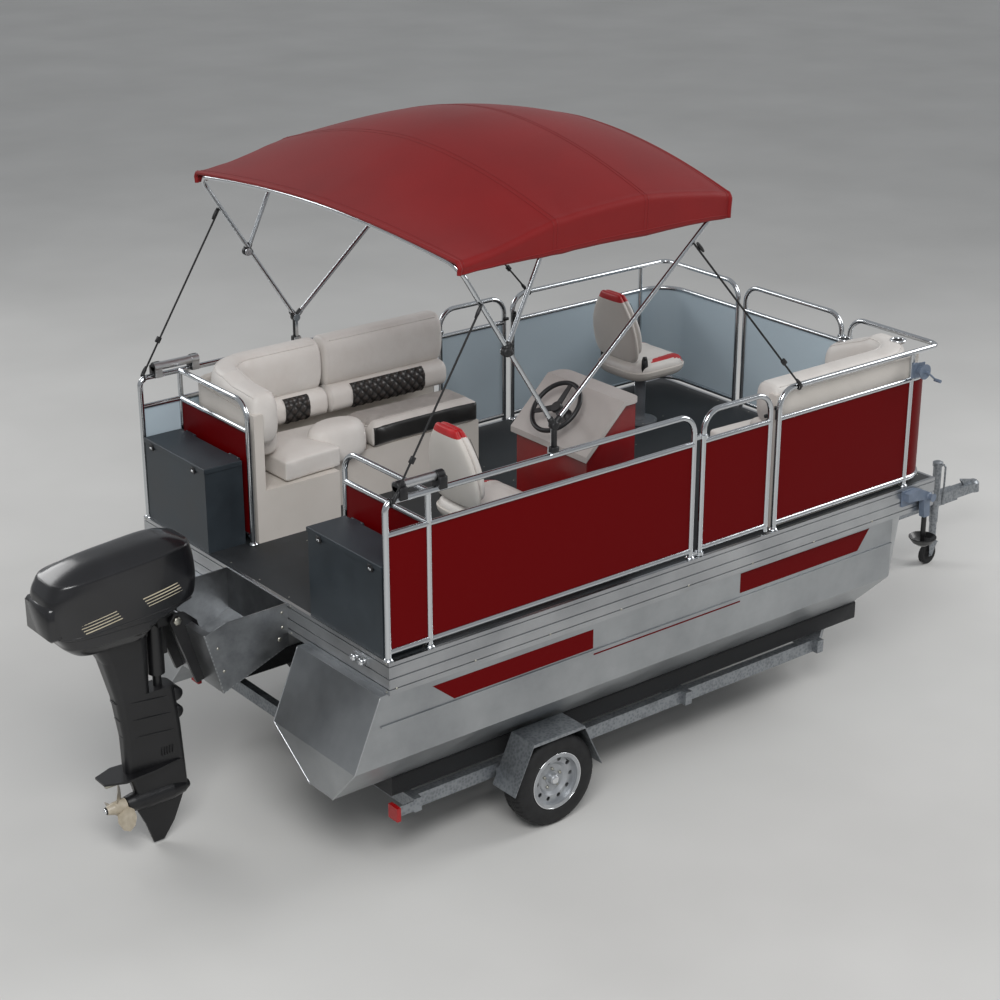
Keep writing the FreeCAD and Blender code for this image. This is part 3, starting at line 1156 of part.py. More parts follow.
def cleats():
    """Two-horned mooring cleats on the aft edge."""
    out = []
    for side in (-1, 1):
        y = side * 980.0
        z = DECK_TOP - 62
        foot = box((DECK_AFT - 8, DECK_AFT), (y - 60, y + 60), (z - 18, z + 18))
        horns = [spun([(0, 9), (0, 9), (10, 9), (18, 18), (26, 20), (34, 14), (34, 0), (0, 0)],
                      V(DECK_AFT - 4, y + k * 34, z), V(-1, 0, 0))
                 for k in (-1, 1)]
        out.append(fused([foot] + horns))
    return out


def anchor_davit():
    """Bow bracket that the anchor hangs from, and the hand winch on the corner post."""
    y = -HALF_BEAM
    x = along(DAVIT_X)
    plate = box((x, x + 110), (y - 10, y), (above(-120), above(-20)))
    arm = prism([(x + 10, above(-30)), (x + 120, above(-20)), (x + 205, above(-60)), (x + 215, above(-215)),
                 (x + 165, above(-215)),
                 (x + 150, above(-95)), (x + 10, above(-80))], "y", y - 50, y - 10)
    wheel = spun([(-16, 0), (-16, 26), (-8, 20), (8, 20), (16, 26), (16, 0)],
                 V(x + 200, y - 65, above(-85)), V(0, 1, 0))
    davit = fused([plate, arm, wheel])
    px, py, pz = along(CORNER_POST), -FENCE_Y - TUBE, above(RAIL_MID + 60)
    clamp = box((px - 22, px + 22), (py - 12, py), (pz - 45, pz + 45))
    drum = spun([(12, 0), (12, 46), (18, 46), (18, 26), (58, 26), (58, 46), (64, 46), (64, 0)],
                V(px + 30, py, pz), V(0, -1, 0))
    cheek = box((px - 10, px + 80), (py - 15, py - 7), (pz - 40, pz + 40))
    hub, knob = V(px + 30, py - 84, pz), V(px + 105, py - 84, pz - 60)
    crank = [bar(hub + V(0, 30, 0), hub - V(0, 10, 0), 8), bar(hub, knob, 6),
             bar(knob + V(0, 10, 0), knob - V(0, 36, 0), 10)]
    return [davit, fused([clamp, cheek, drum] + crank)]


def anchor():
    """Mushroom anchor hanging below the davit."""
    at = V(along(DAVIT_X) + 190, -HALF_BEAM - 30, 0)
    top = above(-217)
    shank = bar(at + V(0, 0, top - 130), at + V(0, 0, top), 16)
    dish = spun([(0, 0), (0, 30), (20, 62), (50, 84), (56, 84), (30, 58), (16, 26), (14, 0)],
                at + V(0, 0, top - 190), V(0, 0, 1))
    stem = bar(at + V(0, 0, top - 182), at + V(0, 0, top - 120), 12)
    return fused([shank, dish, stem])


# ---------------------------------------------------------------- the whole boat
def all_nodes():
    """Every piece by name."""
    nodes = {}
    hull = pontoon()
    nodes["pontoon_port"] = hull
    nodes["pontoon_starboard"] = starboard(hull)
    nodes["deck_board"] = deck_board()
    nodes["deck_frame"] = fused([deck_frame()] + cleats())
    nodes["motor_pod"] = motor_pod()

    aft, bow = fence_frame_port()
    fixed = apart([fused(aft), fused(bow)])
    hinge_post = (BOW_FENCE, BOW_GATE_HALF + POST_GAP)
    bow_lugs = [hinge_lug(hinge_post, (BOW_FENCE, BOW_GATE_HALF), height) for height in LUG_HEIGHTS]
    nodes["fence_frame_port"] = fixed
    nodes["fence_frame_starboard"] = apart([starboard(fused(aft)), starboard(fused(bow + bow_lugs))])
    sheets = apart(fence_panels_port())
    nodes["fence_panels_port"] = sheets
    nodes["fence_panels_starboard"] = starboard(sheets)
    frame, sheet = gate((GATE_AFT, FENCE_Y), (GATE_FORE, FENCE_Y))
    nodes["gate_port_frame"] = frame
    nodes["gate_port_panel"] = sheet
    nodes["gate_starboard_frame"] = starboard(frame)
    nodes["gate_starboard_panel"] = starboard(sheet)
    frame, sheet = gate((BOW_FENCE, -BOW_GATE_HALF), (BOW_FENCE, BOW_GATE_HALF))
    nodes["gate_bow_frame"] = frame
    nodes["gate_bow_panel"] = sheet

    body, lid = locker_port()
    nodes["locker_bodies"] = apart([body, starboard(body)])
    nodes["locker_port_lid"] = lid
    nodes["locker_starboard_lid"] = starboard(lid)

    shell, seats, backs = lounge(AFT_LOUNGE, True, AFT_LEG_END, AFT_CUPS)
    nodes["lounge_aft_shell"] = shell
    nodes["lounge_aft_seats"] = apart(seats)
    nodes["lounge_aft_backs"] = apart(backs)
    shell, seats, backs = lounge(BOW_LOUNGE, False, BOW_LEG_END, BOW_CUPS)
    nodes["lounge_bow_shell"] = starboard(shell)
    nodes["lounge_bow_seats"] = starboard(apart(seats))
    nodes["lounge_bow_backs"] = starboard(apart(backs))

    stems = []
    for name, x, side in (("helm", HELM_CHAIR, -1), ("bow", BOW_CHAIR, 1)):
        foot, seat, back, pivot = chair(x, side)
        stems.append(foot)
        nodes["chair_" + name + "_seat"] = seat
        nodes["chair_" + name + "_back"] = back
        print("chair", name, "pivot", pivot)
    nodes["chair_stems"] = apart(stems)

    nodes["console_body"], nodes["console_top"] = console()
    nodes["steering_column"] = steering_column().cut(nodes["console_top"])
    nodes["steering_wheel"] = steering_wheel()
    print("steering wheel foot and axis", wheel_frame())

    nodes["canopy_cloth"] = canopy()
    nodes["canopy_hoops"] = canopy_hoops()
    nodes["canopy_straps"] = apart(canopy_straps())
    nodes["canopy_rests"] = apart(canopy_rests())
    nodes["anchor_davit"] = apart(anchor_davit())
    nodes["anchor"] = anchor()

    nodes["motor_bracket"] = motor_bracket().cut(nodes["motor_pod"])
    nodes["motor_swivel"] = motor_swivel()
    nodes["motor_cowl"] = motor_cowl()
    nodes["motor_leg"] = motor_leg()
    nodes["propeller"] = propeller()

    nodes["trailer_frame"] = trailer_frame()
    nodes["trailer_bunks"] = apart(trailer_bunks())
    nodes["trailer_axle"] = axle()
    nodes["trailer_fenders"] = apart([fender(), starboard(fender())])
    nodes["trailer_lamps"] = apart(tail_lamps())
    nodes["trailer_coupler"] = coupler()
    nodes["trailer_winch_stand"] = winch_stand()
    nodes["jack_tube"] = jack_tube()
    nodes["jack_leg"] = jack_leg()
    nodes["jack_fork"] = jack_fork()
    nodes["jack_wheel"] = jack_wheel()
    for side, turn in (("left", lambda s: s), ("right", starboard)):
        nodes["tyre_" + side] = turn(tyre())
        nodes["rim_" + side] = turn(rim())
    return nodes


os.makedirs("parts", exist_ok=True)
for node, shape in all_nodes().items():
    shape.exportStep(os.path.join("parts", node + ".step"))
    print(node, len(shape.Solids), shape.isValid(), round(shape.Volume / 1e6, 2), "litres")
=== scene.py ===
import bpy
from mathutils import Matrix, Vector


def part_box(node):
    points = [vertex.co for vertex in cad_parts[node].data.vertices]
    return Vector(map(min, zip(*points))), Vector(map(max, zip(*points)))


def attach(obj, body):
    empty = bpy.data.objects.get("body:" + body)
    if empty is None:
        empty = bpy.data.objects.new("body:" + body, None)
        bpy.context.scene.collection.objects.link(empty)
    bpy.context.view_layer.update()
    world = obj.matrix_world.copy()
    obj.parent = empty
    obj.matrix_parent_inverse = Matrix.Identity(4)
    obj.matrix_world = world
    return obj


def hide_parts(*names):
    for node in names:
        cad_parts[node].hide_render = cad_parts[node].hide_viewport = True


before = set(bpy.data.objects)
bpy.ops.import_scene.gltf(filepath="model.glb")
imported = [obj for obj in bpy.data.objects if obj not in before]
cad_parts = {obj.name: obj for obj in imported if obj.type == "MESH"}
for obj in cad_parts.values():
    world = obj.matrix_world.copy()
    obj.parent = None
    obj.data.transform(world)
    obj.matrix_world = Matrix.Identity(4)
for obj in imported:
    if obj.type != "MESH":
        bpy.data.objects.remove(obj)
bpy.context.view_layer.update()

import math

import bmesh
import bpy
import numpy as np
from mathutils.bvhtree import BVHTree

# ---------------------------------------------------------------- show floor
# A pale painted studio floor, lit by a wide soft lamp above the starboard quarter, a weaker one
# to port and one over the bow.  The camera looks down across the stern from that quarter.


def linear(text):
    """Linear colour from an sRGB hex value: the standard curve, channel by channel."""
    parts = np.array([int(text[i:i + 2], 16) for i in (1, 3, 5)]) / 255.0
    curved = ((parts + 0.055) / 1.055) ** 2.4
    return (*np.where(parts <= 0.04045, parts / 12.92, curved), 1.0)


def add(tree, kind, links=None, values=None, ramp=(), **settings):
    """One node with its settings, its constant inputs, its incoming links and any colour ramp."""
    made = tree.nodes.new(kind)
    for key, value in settings.items():
        setattr(made, key, value)
    for key, value in (values or {}).items():
        made.inputs[key].default_value = value
    for key, output in (links or {}).items():
        tree.links.new(output, made.inputs[key])
    for stop, (position, colour) in zip(made.color_ramp.elements if ramp else (), ramp):
        stop.position, stop.color = position, linear(colour)
    return made


def finish(name, colour, roughness, **constants):
    """New material with plain numbers on its shader: returns it, its tree and its object coordinates."""
    made = bpy.data.materials.new(name)
    made.use_nodes = True
    shader = made.node_tree.nodes["Principled BSDF"]
    shader.inputs["Base Color"].default_value = linear(colour)
    shader.inputs["Roughness"].default_value = roughness
    for key, value in constants.items():
        shader.inputs[key.replace("_", " ")].default_value = value
    return made, made.node_tree, add(made.node_tree, "ShaderNodeTexCoord").outputs["Object"]


def wire(tree, **outputs):
    """Links outputs to the shader's sockets of those names."""
    shader = tree.nodes["Principled BSDF"]
    for key, output in outputs.items():
        tree.links.new(output, shader.inputs[key.replace("_", " ")])


def noise(tree, where, scale, detail, roughness=0.5, distortion=0.0):
    """Output of a noise at the places given."""
    values = {"Scale": scale, "Detail": detail, "Roughness": roughness, "Distortion": distortion}
    return add(tree, "ShaderNodeTexNoise", {"Vector": where}, values).outputs["Fac"]


def waves(tree, where, scale, direction, distortion=0.0):
    """Output of even bands that follow one another along an axis."""
    return add(tree, "ShaderNodeTexWave", {"Vector": where}, {"Scale": scale, "Distortion": distortion},
               bands_direction=direction).outputs["Fac"]


def drawn_out(tree, where, scale):
    """Places scaled axis by axis, so that a noise in them is drawn out along one."""
    return add(tree, "ShaderNodeMapping", {"Vector": where}, {"Scale": scale}).outputs[0]


def cells(tree, where, scale):
    """Output of a leather grain: the distance from the nearest border between cells."""
    return add(tree, "ShaderNodeTexVoronoi", {"Vector": where}, {"Scale": scale},
               feature="DISTANCE_TO_EDGE").outputs["Distance"]


def toned(tree, value, stops):
    """Colour between two stops of (value, hex)."""
    return add(tree, "ShaderNodeValToRGB", {"Fac": value}, ramp=stops).outputs[0]


def ranged(tree, value, low, high):
    """A value from nothing to one, spread between two numbers."""
    return add(tree, "ShaderNodeMapRange", {"Value": value}, {"To Min": low, "To Max": high}).outputs[0]


def relief(tree, height, strength, distance, under=None):
    """Normals bent by a height, on top of another relief if there is one."""
    links = {"Height": height, **({"Normal": under} if under else {})}
    return add(tree, "ShaderNodeBump", links, {"Strength": strength, "Distance": distance}).outputs[0]


def coating(name, colour, roughness, mottle=(), tones=(), gloss=(), grain=(), stretch=None, pores=(),
            wrinkles=(), **constants):
    """Material with a slow noise for its tones and gloss, and a fine texture for its relief.

    mottle is the slow noise's scale, detail and roughness, tones the two stops of its ramp, gloss the
    least and most roughness it gives.  grain is a fine noise's scale and detail, then its bump's
    strength and distance, drawn out by stretch; pores are a leather cell's scale, then the same two.
    wrinkles are a noise's scale, detail and distortion, then its bump's; without a mottle they tone too.
    """
    made, tree, where = finish(name, colour, roughness, **constants)
    outputs = {}
    folds = noise(tree, where, *wrinkles[:2], distortion=wrinkles[2]) if wrinkles else None
    slow = noise(tree, where, *mottle) if mottle else folds
    if tones:
        outputs["Base_Color"] = toned(tree, slow, tones)
    if gloss:
        outputs["Roughness"] = ranged(tree, slow, *gloss)
    if grain:
        spots = drawn_out(tree, where, stretch) if stretch else where
        outputs["Normal"] = relief(tree, noise(tree, spots, *grain[:2]), *grain[2:])
    if pores:
        outputs["Normal"] = relief(tree, cells(tree, where, pores[0]), *pores[1:])
    if wrinkles:
        outputs["Normal"] = relief(tree, folds, *wrinkles[3:], outputs.get("Normal"))
    wire(tree, **outputs)
    return made


def reckoned(tree, operation, *terms):
    """Output of a maths node whose terms are other nodes' outputs or plain numbers."""
    links = {place: term for place, term in enumerate(terms) if not isinstance(term, float)}
    values = {place: term for place, term in enumerate(terms) if isinstance(term, float)}
    return add(tree, "ShaderNodeMath", links, values, operation=operation).outputs[0]


def mesh_piece(name, places, faces, made, body=None, slot=None, smooth=True):
    """Object from arrays of places and faces, with doubles merged and faces turned outwards."""
    mesh = bpy.data.meshes.new(name)
    mesh.from_pydata(np.asarray(places, float).tolist(), [], [list(map(int, face)) for face in faces])
    work = bmesh.new()
    work.from_mesh(mesh)
    bmesh.ops.remove_doubles(work, verts=work.verts, dist=1e-5)
    bmesh.ops.recalc_face_normals(work, faces=work.faces)
    work.to_mesh(mesh)
    work.free()
    mesh.polygons.foreach_set("use_smooth", np.full(len(mesh.polygons), smooth))
    mesh.materials.append(made)
    piece = bpy.data.objects.new(name, mesh)
    bpy.context.scene.collection.objects.link(piece)
    if body:
        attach(piece, body)
    return piece


floor_paint = coating("studio_floor_paint", "#D3D2CF", 0.6, mottle=(0.6, 3.0),
                      tones=[(0.3, "#CCCBC8"), (0.7, "#D6D5D2")])
FLOOR = 70.0
floor = mesh_piece("studio_floor",
                   [(-FLOOR, -FLOOR, 0), (FLOOR, -FLOOR, 0), (FLOOR, FLOOR, 0), (-FLOOR, FLOOR, 0)],
                   [(0, 1, 2, 3)], floor_paint)

world = bpy.data.worlds.new("studio_air")
world.use_nodes = True
world.node_tree.nodes["Background"].inputs["Color"].default_value = linear("#EDF0F4")
world.node_tree.nodes["Background"].inputs["Strength"].default_value = 0.42
bpy.context.scene.world = world
bpy.context.scene.view_settings.view_transform = "Standard"

# place, turn about X and Z in degrees, width, height, power in watts
LAMPS = [((-5.0, -6.5, 8.5), (38.0, -40.0), 5.0, 4.0, 620.0),
         ((-3.0, 9.0, 6.5), (55.0, 200.0), 6.0, 3.0, 260.0),
         ((9.0, -3.0, 6.0), (58.0, 75.0), 4.0, 4.0, 330.0)]
for number, (place, turn, across, high, power) in enumerate(LAMPS):
    lamp = bpy.data.lights.new(f"soft_lamp_{number}", "AREA")
    lamp.shape = "RECTANGLE"
    lamp.size, lamp.size_y, lamp.energy = across, high, power
    holder = bpy.data.objects.new(f"soft_lamp_{number}", lamp)
    holder.location = place
    holder.rotation_euler = (math.radians(turn[0]), 0.0, math.radians(turn[1]))
    bpy.context.scene.collection.objects.link(holder)

camera = bpy.data.objects.new("camera", bpy.data.cameras.new("camera"))
camera.data.sensor_width = 36.0
camera.data.lens = 74.65
camera.data.clip_end = 200.0
camera.location = (-6.398, -8.765, 5.930)
camera.rotation_euler = (math.radians(90.0 - 22.02), 0.0, math.radians(-38.39))
bpy.context.scene.collection.objects.link(camera)
bpy.context.scene.camera = camera

# ---------------------------------------------------------------- hulls
# Each pontoon is folded and welded from bare marine aluminium sheet, brushed along its length.
# Red vinyl stripes are stuck to its upright side, above and below the pressed crease.
ROOT = "boat_and_trailer"


def dress(made, *nodes):
    """Gives CAD nodes' objects a material in place of their own."""
    for node in nodes:
        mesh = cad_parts[node].data
        mesh.materials.clear()
        mesh.materials.append(made)


# Marine sheet: mid-grey metal, satin, with fine lengthwise brush marks and dull cloudy patches
hull_sheet, tree, where = finish("brushed_marine_aluminium", "#B4B7BA", 0.36, Metallic=1.0)
brush = noise(tree, drawn_out(tree, where, (3.0, 160.0, 320.0)), 1.0, 4.0)
cloud = noise(tree, where, 2.2, 5.0, 0.6)
both = reckoned(tree, "ADD", brush, cloud)
dull = add(tree, "ShaderNodeMapRange", {"Value": both},
           {"From Min": 0.6, "From Max": 1.4, "To Min": 0.28, "To Max": 0.50})
tint = toned(tree, cloud, [(0.3, "#9EA1A4"), (0.7, "#B9BCBE")])
lines = relief(tree, brush, 0.25, 0.0004)
wire(tree, Base_Color=tint, Roughness=dull.outputs[0], Normal=lines)
dress(hull_sheet, "pontoon_port", "pontoon_starboard")

board_low, board_high = (np.array(corner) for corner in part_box("deck_board"))
hull_low, hull_high = (np.array(corner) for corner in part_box("pontoon_port"))
EXTRUSION_WALL = 0.020
CREASE_PROUD = 0.008
deck_aft = board_low[0] - EXTRUSION_WALL
deck_top = board_high[2]
half_beam = board_high[1] + EXTRUSION_WALL
hull_out = hull_high[1] - CREASE_PROUD
hull_in = hull_low[1] + CREASE_PROUD
hull_mid = (hull_out + hull_in) / 2


def at(x, y, z):
    """Place from a distance along the deck, one from the centre line and a height above the deck."""
    return np.stack(np.broadcast_arrays(deck_aft + np.asarray(x, float), y,
                                        deck_top + np.asarray(z, float)), axis=-1)


def slab(outline, inward, outward):
    """Closed plate: one outline given twice, at its two faces, and the strip that joins them."""
    count = len(outline)
    sides = [(i, (i + 1) % count, count + (i + 1) % count, count + i) for i in range(count)]
    return np.concatenate([inward, outward]), [tuple(range(count))[::-1],
                                               tuple(range(count, 2 * count))] + sides


def joined(parts):
    """Places and faces of several surfaces as one."""
    places, faces, count = [], [], 0
    for some_places, some_faces in parts:
        places.append(np.asarray(some_places, float).reshape(-1, 3))
        faces += [[int(v) + count for v in face] for face in some_faces]
        count += len(places[-1])
    return np.concatenate(places), faces


# Cast vinyl: glossy dark red film, 0.6 mm proud, with a slight waviness from the sheet below
vinyl_film = coating("red_vinyl_film", "#640205", 0.36, grain=(6.0, 2.0, 0.15, 0.002),
                     Specular_IOR_Level=0.06)

# corners of each stripe: distance along the deck and height above it
STRIPES = {"stripe_aft": [(0.28, -0.222), (1.355, -0.222), (1.355, -0.335), (0.417, -0.335)],
           "stripe_bow": [(2.455, -0.200), (3.525, -0.200), (3.43, -0.322), (2.455, -0.322)],
           "stripe_thin": [(1.36, -0.369), (2.46, -0.369), (2.46, -0.378), (1.36, -0.378)]}
FILM = 0.0006
for name, corners in STRIPES.items():
    corners = np.array(corners)
    sheets = [slab(corners, at(corners[:, 0], side * (hull_out - FILM), corners[:, 1]),
                   at(corners[:, 0], side * (hull_out + FILM), corners[:, 1])) for side in (-1, 1)]
    mesh_piece(name, *joined(sheets), vinyl_film, ROOT, "hull_aluminium", smooth=False)


def ring_sides(points):
    """Two unit arrays at right angles to a path's heading, worked out from its neighbouring places."""
    heading = np.gradient(points, axis=0)
    heading /= np.linalg.norm(heading, axis=1, keepdims=True)
    side = np.cross(heading, np.eye(3)[int(np.argmin(np.abs(heading).mean(axis=0)))])
    side /= np.linalg.norm(side, axis=1, keepdims=True)
    return side, np.cross(side, heading)


def grid_faces(rows, columns, loop_columns=True, loop_rows=False):
    """Quads between neighbouring rows and columns of a grid of places."""
    r, c = np.meshgrid(np.arange(rows if loop_rows else rows - 1),
                       np.arange(columns if loop_columns else columns - 1), indexing="ij")
    r, c = r.ravel(), c.ravel()
    nr, nc = (r + 1) % rows, (c + 1) % columns
    return np.stack([r * columns + c, r * columns + nc, nr * columns + nc, nr * columns + c], axis=1)


def tube(points, radius, sides=10, flat=1.0):
    """Rings of a radius round a path, drawn in to a point at both ends; flat squashes them one way."""
    points = np.asarray(points, float)
    side, up = ring_sides(points)
    radius = np.broadcast_to(np.asarray(radius, float), (len(points),))
    angle = np.linspace(0, 2 * np.pi, sides, endpoint=False)
    across, above = np.cos(angle)[None, :, None], np.sin(angle)[None, :, None]
    ring = across * side[:, None, :] + flat * above * up[:, None, :]
    body = points[:, None, :] + radius[:, None, None] * ring
    ends = [np.repeat(points[i][None, None, :], sides, axis=1) for i in (0, -1)]
    places = np.concatenate([ends[0], body, ends[1]], axis=0).reshape(-1, 3)
    return places, grid_faces(len(points) + 2, sides)


def dense(points, step):
    """Straight runs between points, cut into equal steps."""
    points = np.asarray(points, float)
    runs = [np.linspace(a, b, max(2, int(np.linalg.norm(b - a) / step) + 1))[:-1]
            for a, b in zip(points, points[1:])]
    return np.concatenate(runs + [points[-1:]])


RIPPLE = 1.57                           # turn of a bead's ripple from one place on its path to the next


def bead(route, radius, ripple):
    """Weld bead along a path: a tube whose radius swells by the size of a sine."""
    return tube(route, radius + ripple * np.abs(np.sin(np.arange(len(route)) * RIPPLE)), 6)


# Filler beads where the transoms are welded on: overlapping ripples 6 mm wide
weld, tree, where = finish("aluminium_weld", "#C4C6C8", 0.32, Metallic=1.0)
KEEL_HALF = 0.105
BEAD_STEP = 0.012
TRANSOM = [(-0.045, 1.0, -0.185), (-0.210, 1.0, -0.570),
           (-0.170, KEEL_HALF / (hull_out - hull_mid), -0.840)]
beads = []
for side in (-1, 1):
    for way in (-1, 1):
        line = [at(x, side * (hull_mid + way * share * (hull_out - hull_mid)), z)
                for x, share, z in TRANSOM]
        beads.append(bead(dense(line, BEAD_STEP), 0.0030, 0.0009))
mesh_piece("transom_welds", *joined(beads), weld, ROOT, "hull_aluminium")

# ---------------------------------------------------------------- deck
# Sheets of charcoal vinyl decking, ribbed lengthwise for grip, lie on the cross channels inside a
# grooved aluminium extrusion.  Zinc-coated screws hold them down in rows over the channels.
RIB = 0.016

# Ribbed vinyl: matt charcoal, ribs 16 mm apart (real ones are 3 mm, too fine to show), dusty on top
decking, tree, where = finish("ribbed_vinyl_decking", "#26292B", 0.58)
ribs = waves(tree, where, 1.0 / RIB / 3.1416 / 0.637, "Y", 0.25)
grit = noise(tree, where, 55.0, 5.0)
stain = noise(tree, where, 1.7, 6.0, 0.65)
tone = toned(tree, stain, [(0.35, "#1F2224"), (0.72, "#32363A")])
rough = ranged(tree, stain, 0.38, 0.72)
fine = relief(tree, grit, 0.3, 0.0006)
raised = relief(tree, ribs, 0.8, 0.0022, fine)
wire(tree, Base_Color=tone, Roughness=rough, Normal=raised)
dress(decking, "deck_board")

# Anodised extrusion: satin silver with die lines along its length
extrusion, tree, where = finish("anodised_edge_extrusion", "#BFC1C3", 0.30, Metallic=1.0)
die = noise(tree, drawn_out(tree, where, (1.5, 1.5, 420.0)), 1.0, 3.0)
cloud = noise(tree, where, 3.0, 4.0)
tint = toned(tree, cloud, [(0.3, "#A2A4A7"), (0.7, "#BEC0C2")])
rough = ranged(tree, die, 0.24, 0.42)
groove = relief(tree, die, 0.25, 0.0004)
wire(tree, Base_Color=tint, Roughness=rough, Normal=groove)
dress(extrusion, "deck_frame")


def turned(profile, centre, axis, sides=24):
    """Profile of (distance along the axis, radius) carried round it, closed where the radius is nothing."""
    profile = np.asarray(profile, float)
    axis = np.asarray(axis, float) / np.linalg.norm(axis)
    side = np.cross(axis, (0.0, 0.0, 1.0) if abs(axis[2]) < 0.9 else (1.0, 0.0, 0.0))
    side /= np.linalg.norm(side)
    up = np.cross(axis, side)
    turn = np.linspace(0, 2 * np.pi, sides, endpoint=False)
    ring = np.cos(turn)[None, :, None] * side + np.sin(turn)[None, :, None] * up
    places = np.asarray(centre) + profile[:, :1, None] * axis + profile[:, 1:, None] * ring
    return places.reshape(-1, 3), grid_faces(len(profile), sides)


def dome(centre, axis, radius, high, sides=10, rings=3):
    """Screw head: rings shrink by a cosine and rise by a sine from the seat to the crown."""
    swell = np.linspace(0.0, np.pi / 2, rings)
    profile = [(-0.6 * high, radius), *zip(high * np.sin(swell), radius * np.cos(swell))]
    places, faces = turned(profile, centre, axis, sides)
    return places, [tuple(range(sides))] + faces.tolist()


# Zinc-plated steel: pale grey metal, a little yellow and dull
zinc, tree, where = finish("zinc_plated_screws", "#B9B7AC", 0.34, Metallic=1.0)
CHANNELS = 9
CHANNEL_ENDS = (0.045, 4.020)           # the first and last channel's middle
SCREW_OUT, SCREW_PITCH = 1.12, 0.29
rows = np.linspace(*CHANNEL_ENDS, CHANNELS)
heads = []
for x in rows:
    for y in np.arange(-SCREW_OUT, SCREW_OUT + 0.01, SCREW_PITCH):
        heads.append(dome(at(x, y, 0.0), (0, 0, 1), 0.0050, 0.0014, 6, 2))
mesh_piece("deck_screws", *joined(heads), zinc, ROOT, "edge_extrusion")

# Screws through the extrusion into the channels, one each side at each channel, and eight astern
heads = [dome(at(x, side * half_beam, -0.15), (0, side, 0), 0.007, 0.003, 8, 3)
         for x in rows for side in (-1, 1)]
heads += [dome(at(0.0, y, z), (-1, 0, 0), 0.006, 0.003, 8, 3)
          for y in (-1.195, -0.33, 0.33, 1.195) for z in (-0.012, -0.168)]
mesh_piece("extrusion_screws", *joined(heads), zinc, ROOT, "edge_extrusion")

# Cleats: two chromed knobs on a slim plate, bolted to the aft extrusion below each locker
chrome, tree, where = finish("chromed_zinc", "#E4E6E8", 0.07, Metallic=1.0)
CLEAT_Y, CLEAT_Z = 0.980, -0.062
KNOB = [(0.002, 0.0), (0.002, 0.019), (0.010, 0.010), (0.020, 0.010), (0.027, 0.0195), (0.033, 0.0205),
        (0.039, 0.015), (0.041, 0.0)]
knobs = []
for side in (-1, 1):
    for way in (-1, 1):
        knobs.append(turned(KNOB, at(0.001, side * CLEAT_Y + way * 0.034, CLEAT_Z), (-1, 0, 0), 20))
mesh_piece("cleat_knobs", *joined(knobs), chrome, ROOT, "edge_extrusion")

# ---------------------------------------------------------------- motor pod
# Bent and welded aluminium plate behind the deck: two cheeks, a floor and a thick transom that
# the motor's clamps grip.  Bolts hold it to the aft extrusion, and each cheek has a drain hole.
pod_plate = coating("mill_aluminium_plate", "#A8AAAC", 0.36, mottle=(7.0, 6.0, 0.7),
                    tones=[(0.3, "#8F9193"), (0.75, "#B4B6B8")], gloss=(0.22, 0.52),
                    grain=(1.0, 5.0, 0.3, 0.0004), stretch=(4.0, 90.0, 90.0), Metallic=1.0)
dress(pod_plate, "motor_pod")
POD_HALF = 0.300
POD_CHEEK = [(-0.505, -0.046), (-0.408, -0.404), (-0.003, -0.247)]   # the welded edge of a cheek
POD_BOLTS = [(-0.035, -0.05), (-0.035, -0.135), (-0.43, -0.14), (-0.40, -0.28)]
heads, beads = [], []
for side in (-1, 1):
    for x, z in POD_BOLTS:
        heads.append(dome(at(x, side * POD_HALF, z), (0, side, 0), 0.009, 0.005, 6, 2))
    heads.append(turned([(-0.001, 0.0), (-0.001, 0.012), (0.0006, 0.012), (0.0006, 0.0)],
                        at(-0.055, side * POD_HALF, -0.20), (0, side, 0), 16))
    edge = [at(x, side * (POD_HALF - 0.004), z) for x, z in POD_CHEEK]
    beads.append(bead(dense(edge, BEAD_STEP), 0.0042, 0.0008))
mesh_piece("pod_bolts", *joined(heads), zinc, ROOT, "pod_aluminium")
mesh_piece("pod_welds", *joined(beads), weld, ROOT, "pod_aluminium")

# ---------------------------------------------------------------- fences and gates
# Bright-anodised round tube is bent into each section and welded at the joints.  Painted sheets
# are held inside: dark red outside and pale blue-grey inside.  Latches are black nylon.
rail = coating("bright_anodised_tube", "#C9CCCF", 0.14, mottle=(14.0, 5.0), gloss=(0.07, 0.24),
               Metallic=1.0)
GATES = [("gate_port_frame", "gate_port_panel", "gate_port_body"),
         ("gate_starboard_frame", "gate_starboard_panel", "gate_starboard_body"),
         ("gate_bow_frame", "gate_bow_panel", "gate_bow_body")]
dress(rail, "fence_frame_port", "fence_frame_starboard", *[row[0] for row in GATES])

# Coil-coated aluminium sheet: gloss paint, with the slight orange peel of a roller.  Its colour
# changes at the middle of the sheet's thickness: red on the outer face, blue-grey on the inner.
FENCE_Y, FENCE_X = half_beam - 0.030, 4.070 - 0.030
sheet_paint, tree, where = finish("coil_coated_panel", "#5E0103", 0.38, Specular_IOR_Level=0.06)
axes = add(tree, "ShaderNodeSeparateXYZ", {"Vector": where})
across = reckoned(tree, "ABSOLUTE", axes.outputs["Y"])
side_out = reckoned(tree, "GREATER_THAN", across, FENCE_Y)
bow_out = reckoned(tree, "GREATER_THAN", axes.outputs["X"], deck_aft + FENCE_X)
# round the bow corners the sheet's middle is an arc, 200 mm from a centre inside the corner
BOW_BEND = 0.200
off_x = reckoned(tree, "SUBTRACT", axes.outputs["X"], deck_aft + FENCE_X - BOW_BEND)
off_y = reckoned(tree, "SUBTRACT", across, FENCE_Y - BOW_BEND)
ahead = reckoned(tree, "MAXIMUM", off_x, 0.0)
abeam = reckoned(tree, "MAXIMUM", off_y, 0.0)
leg = add(tree, "ShaderNodeCombineXYZ", {"X": ahead, "Y": abeam})
far = add(tree, "ShaderNodeVectorMath", {0: leg.outputs[0]}, operation="LENGTH")
bend_out = reckoned(tree, "GREATER_THAN", far.outputs["Value"], BOW_BEND)
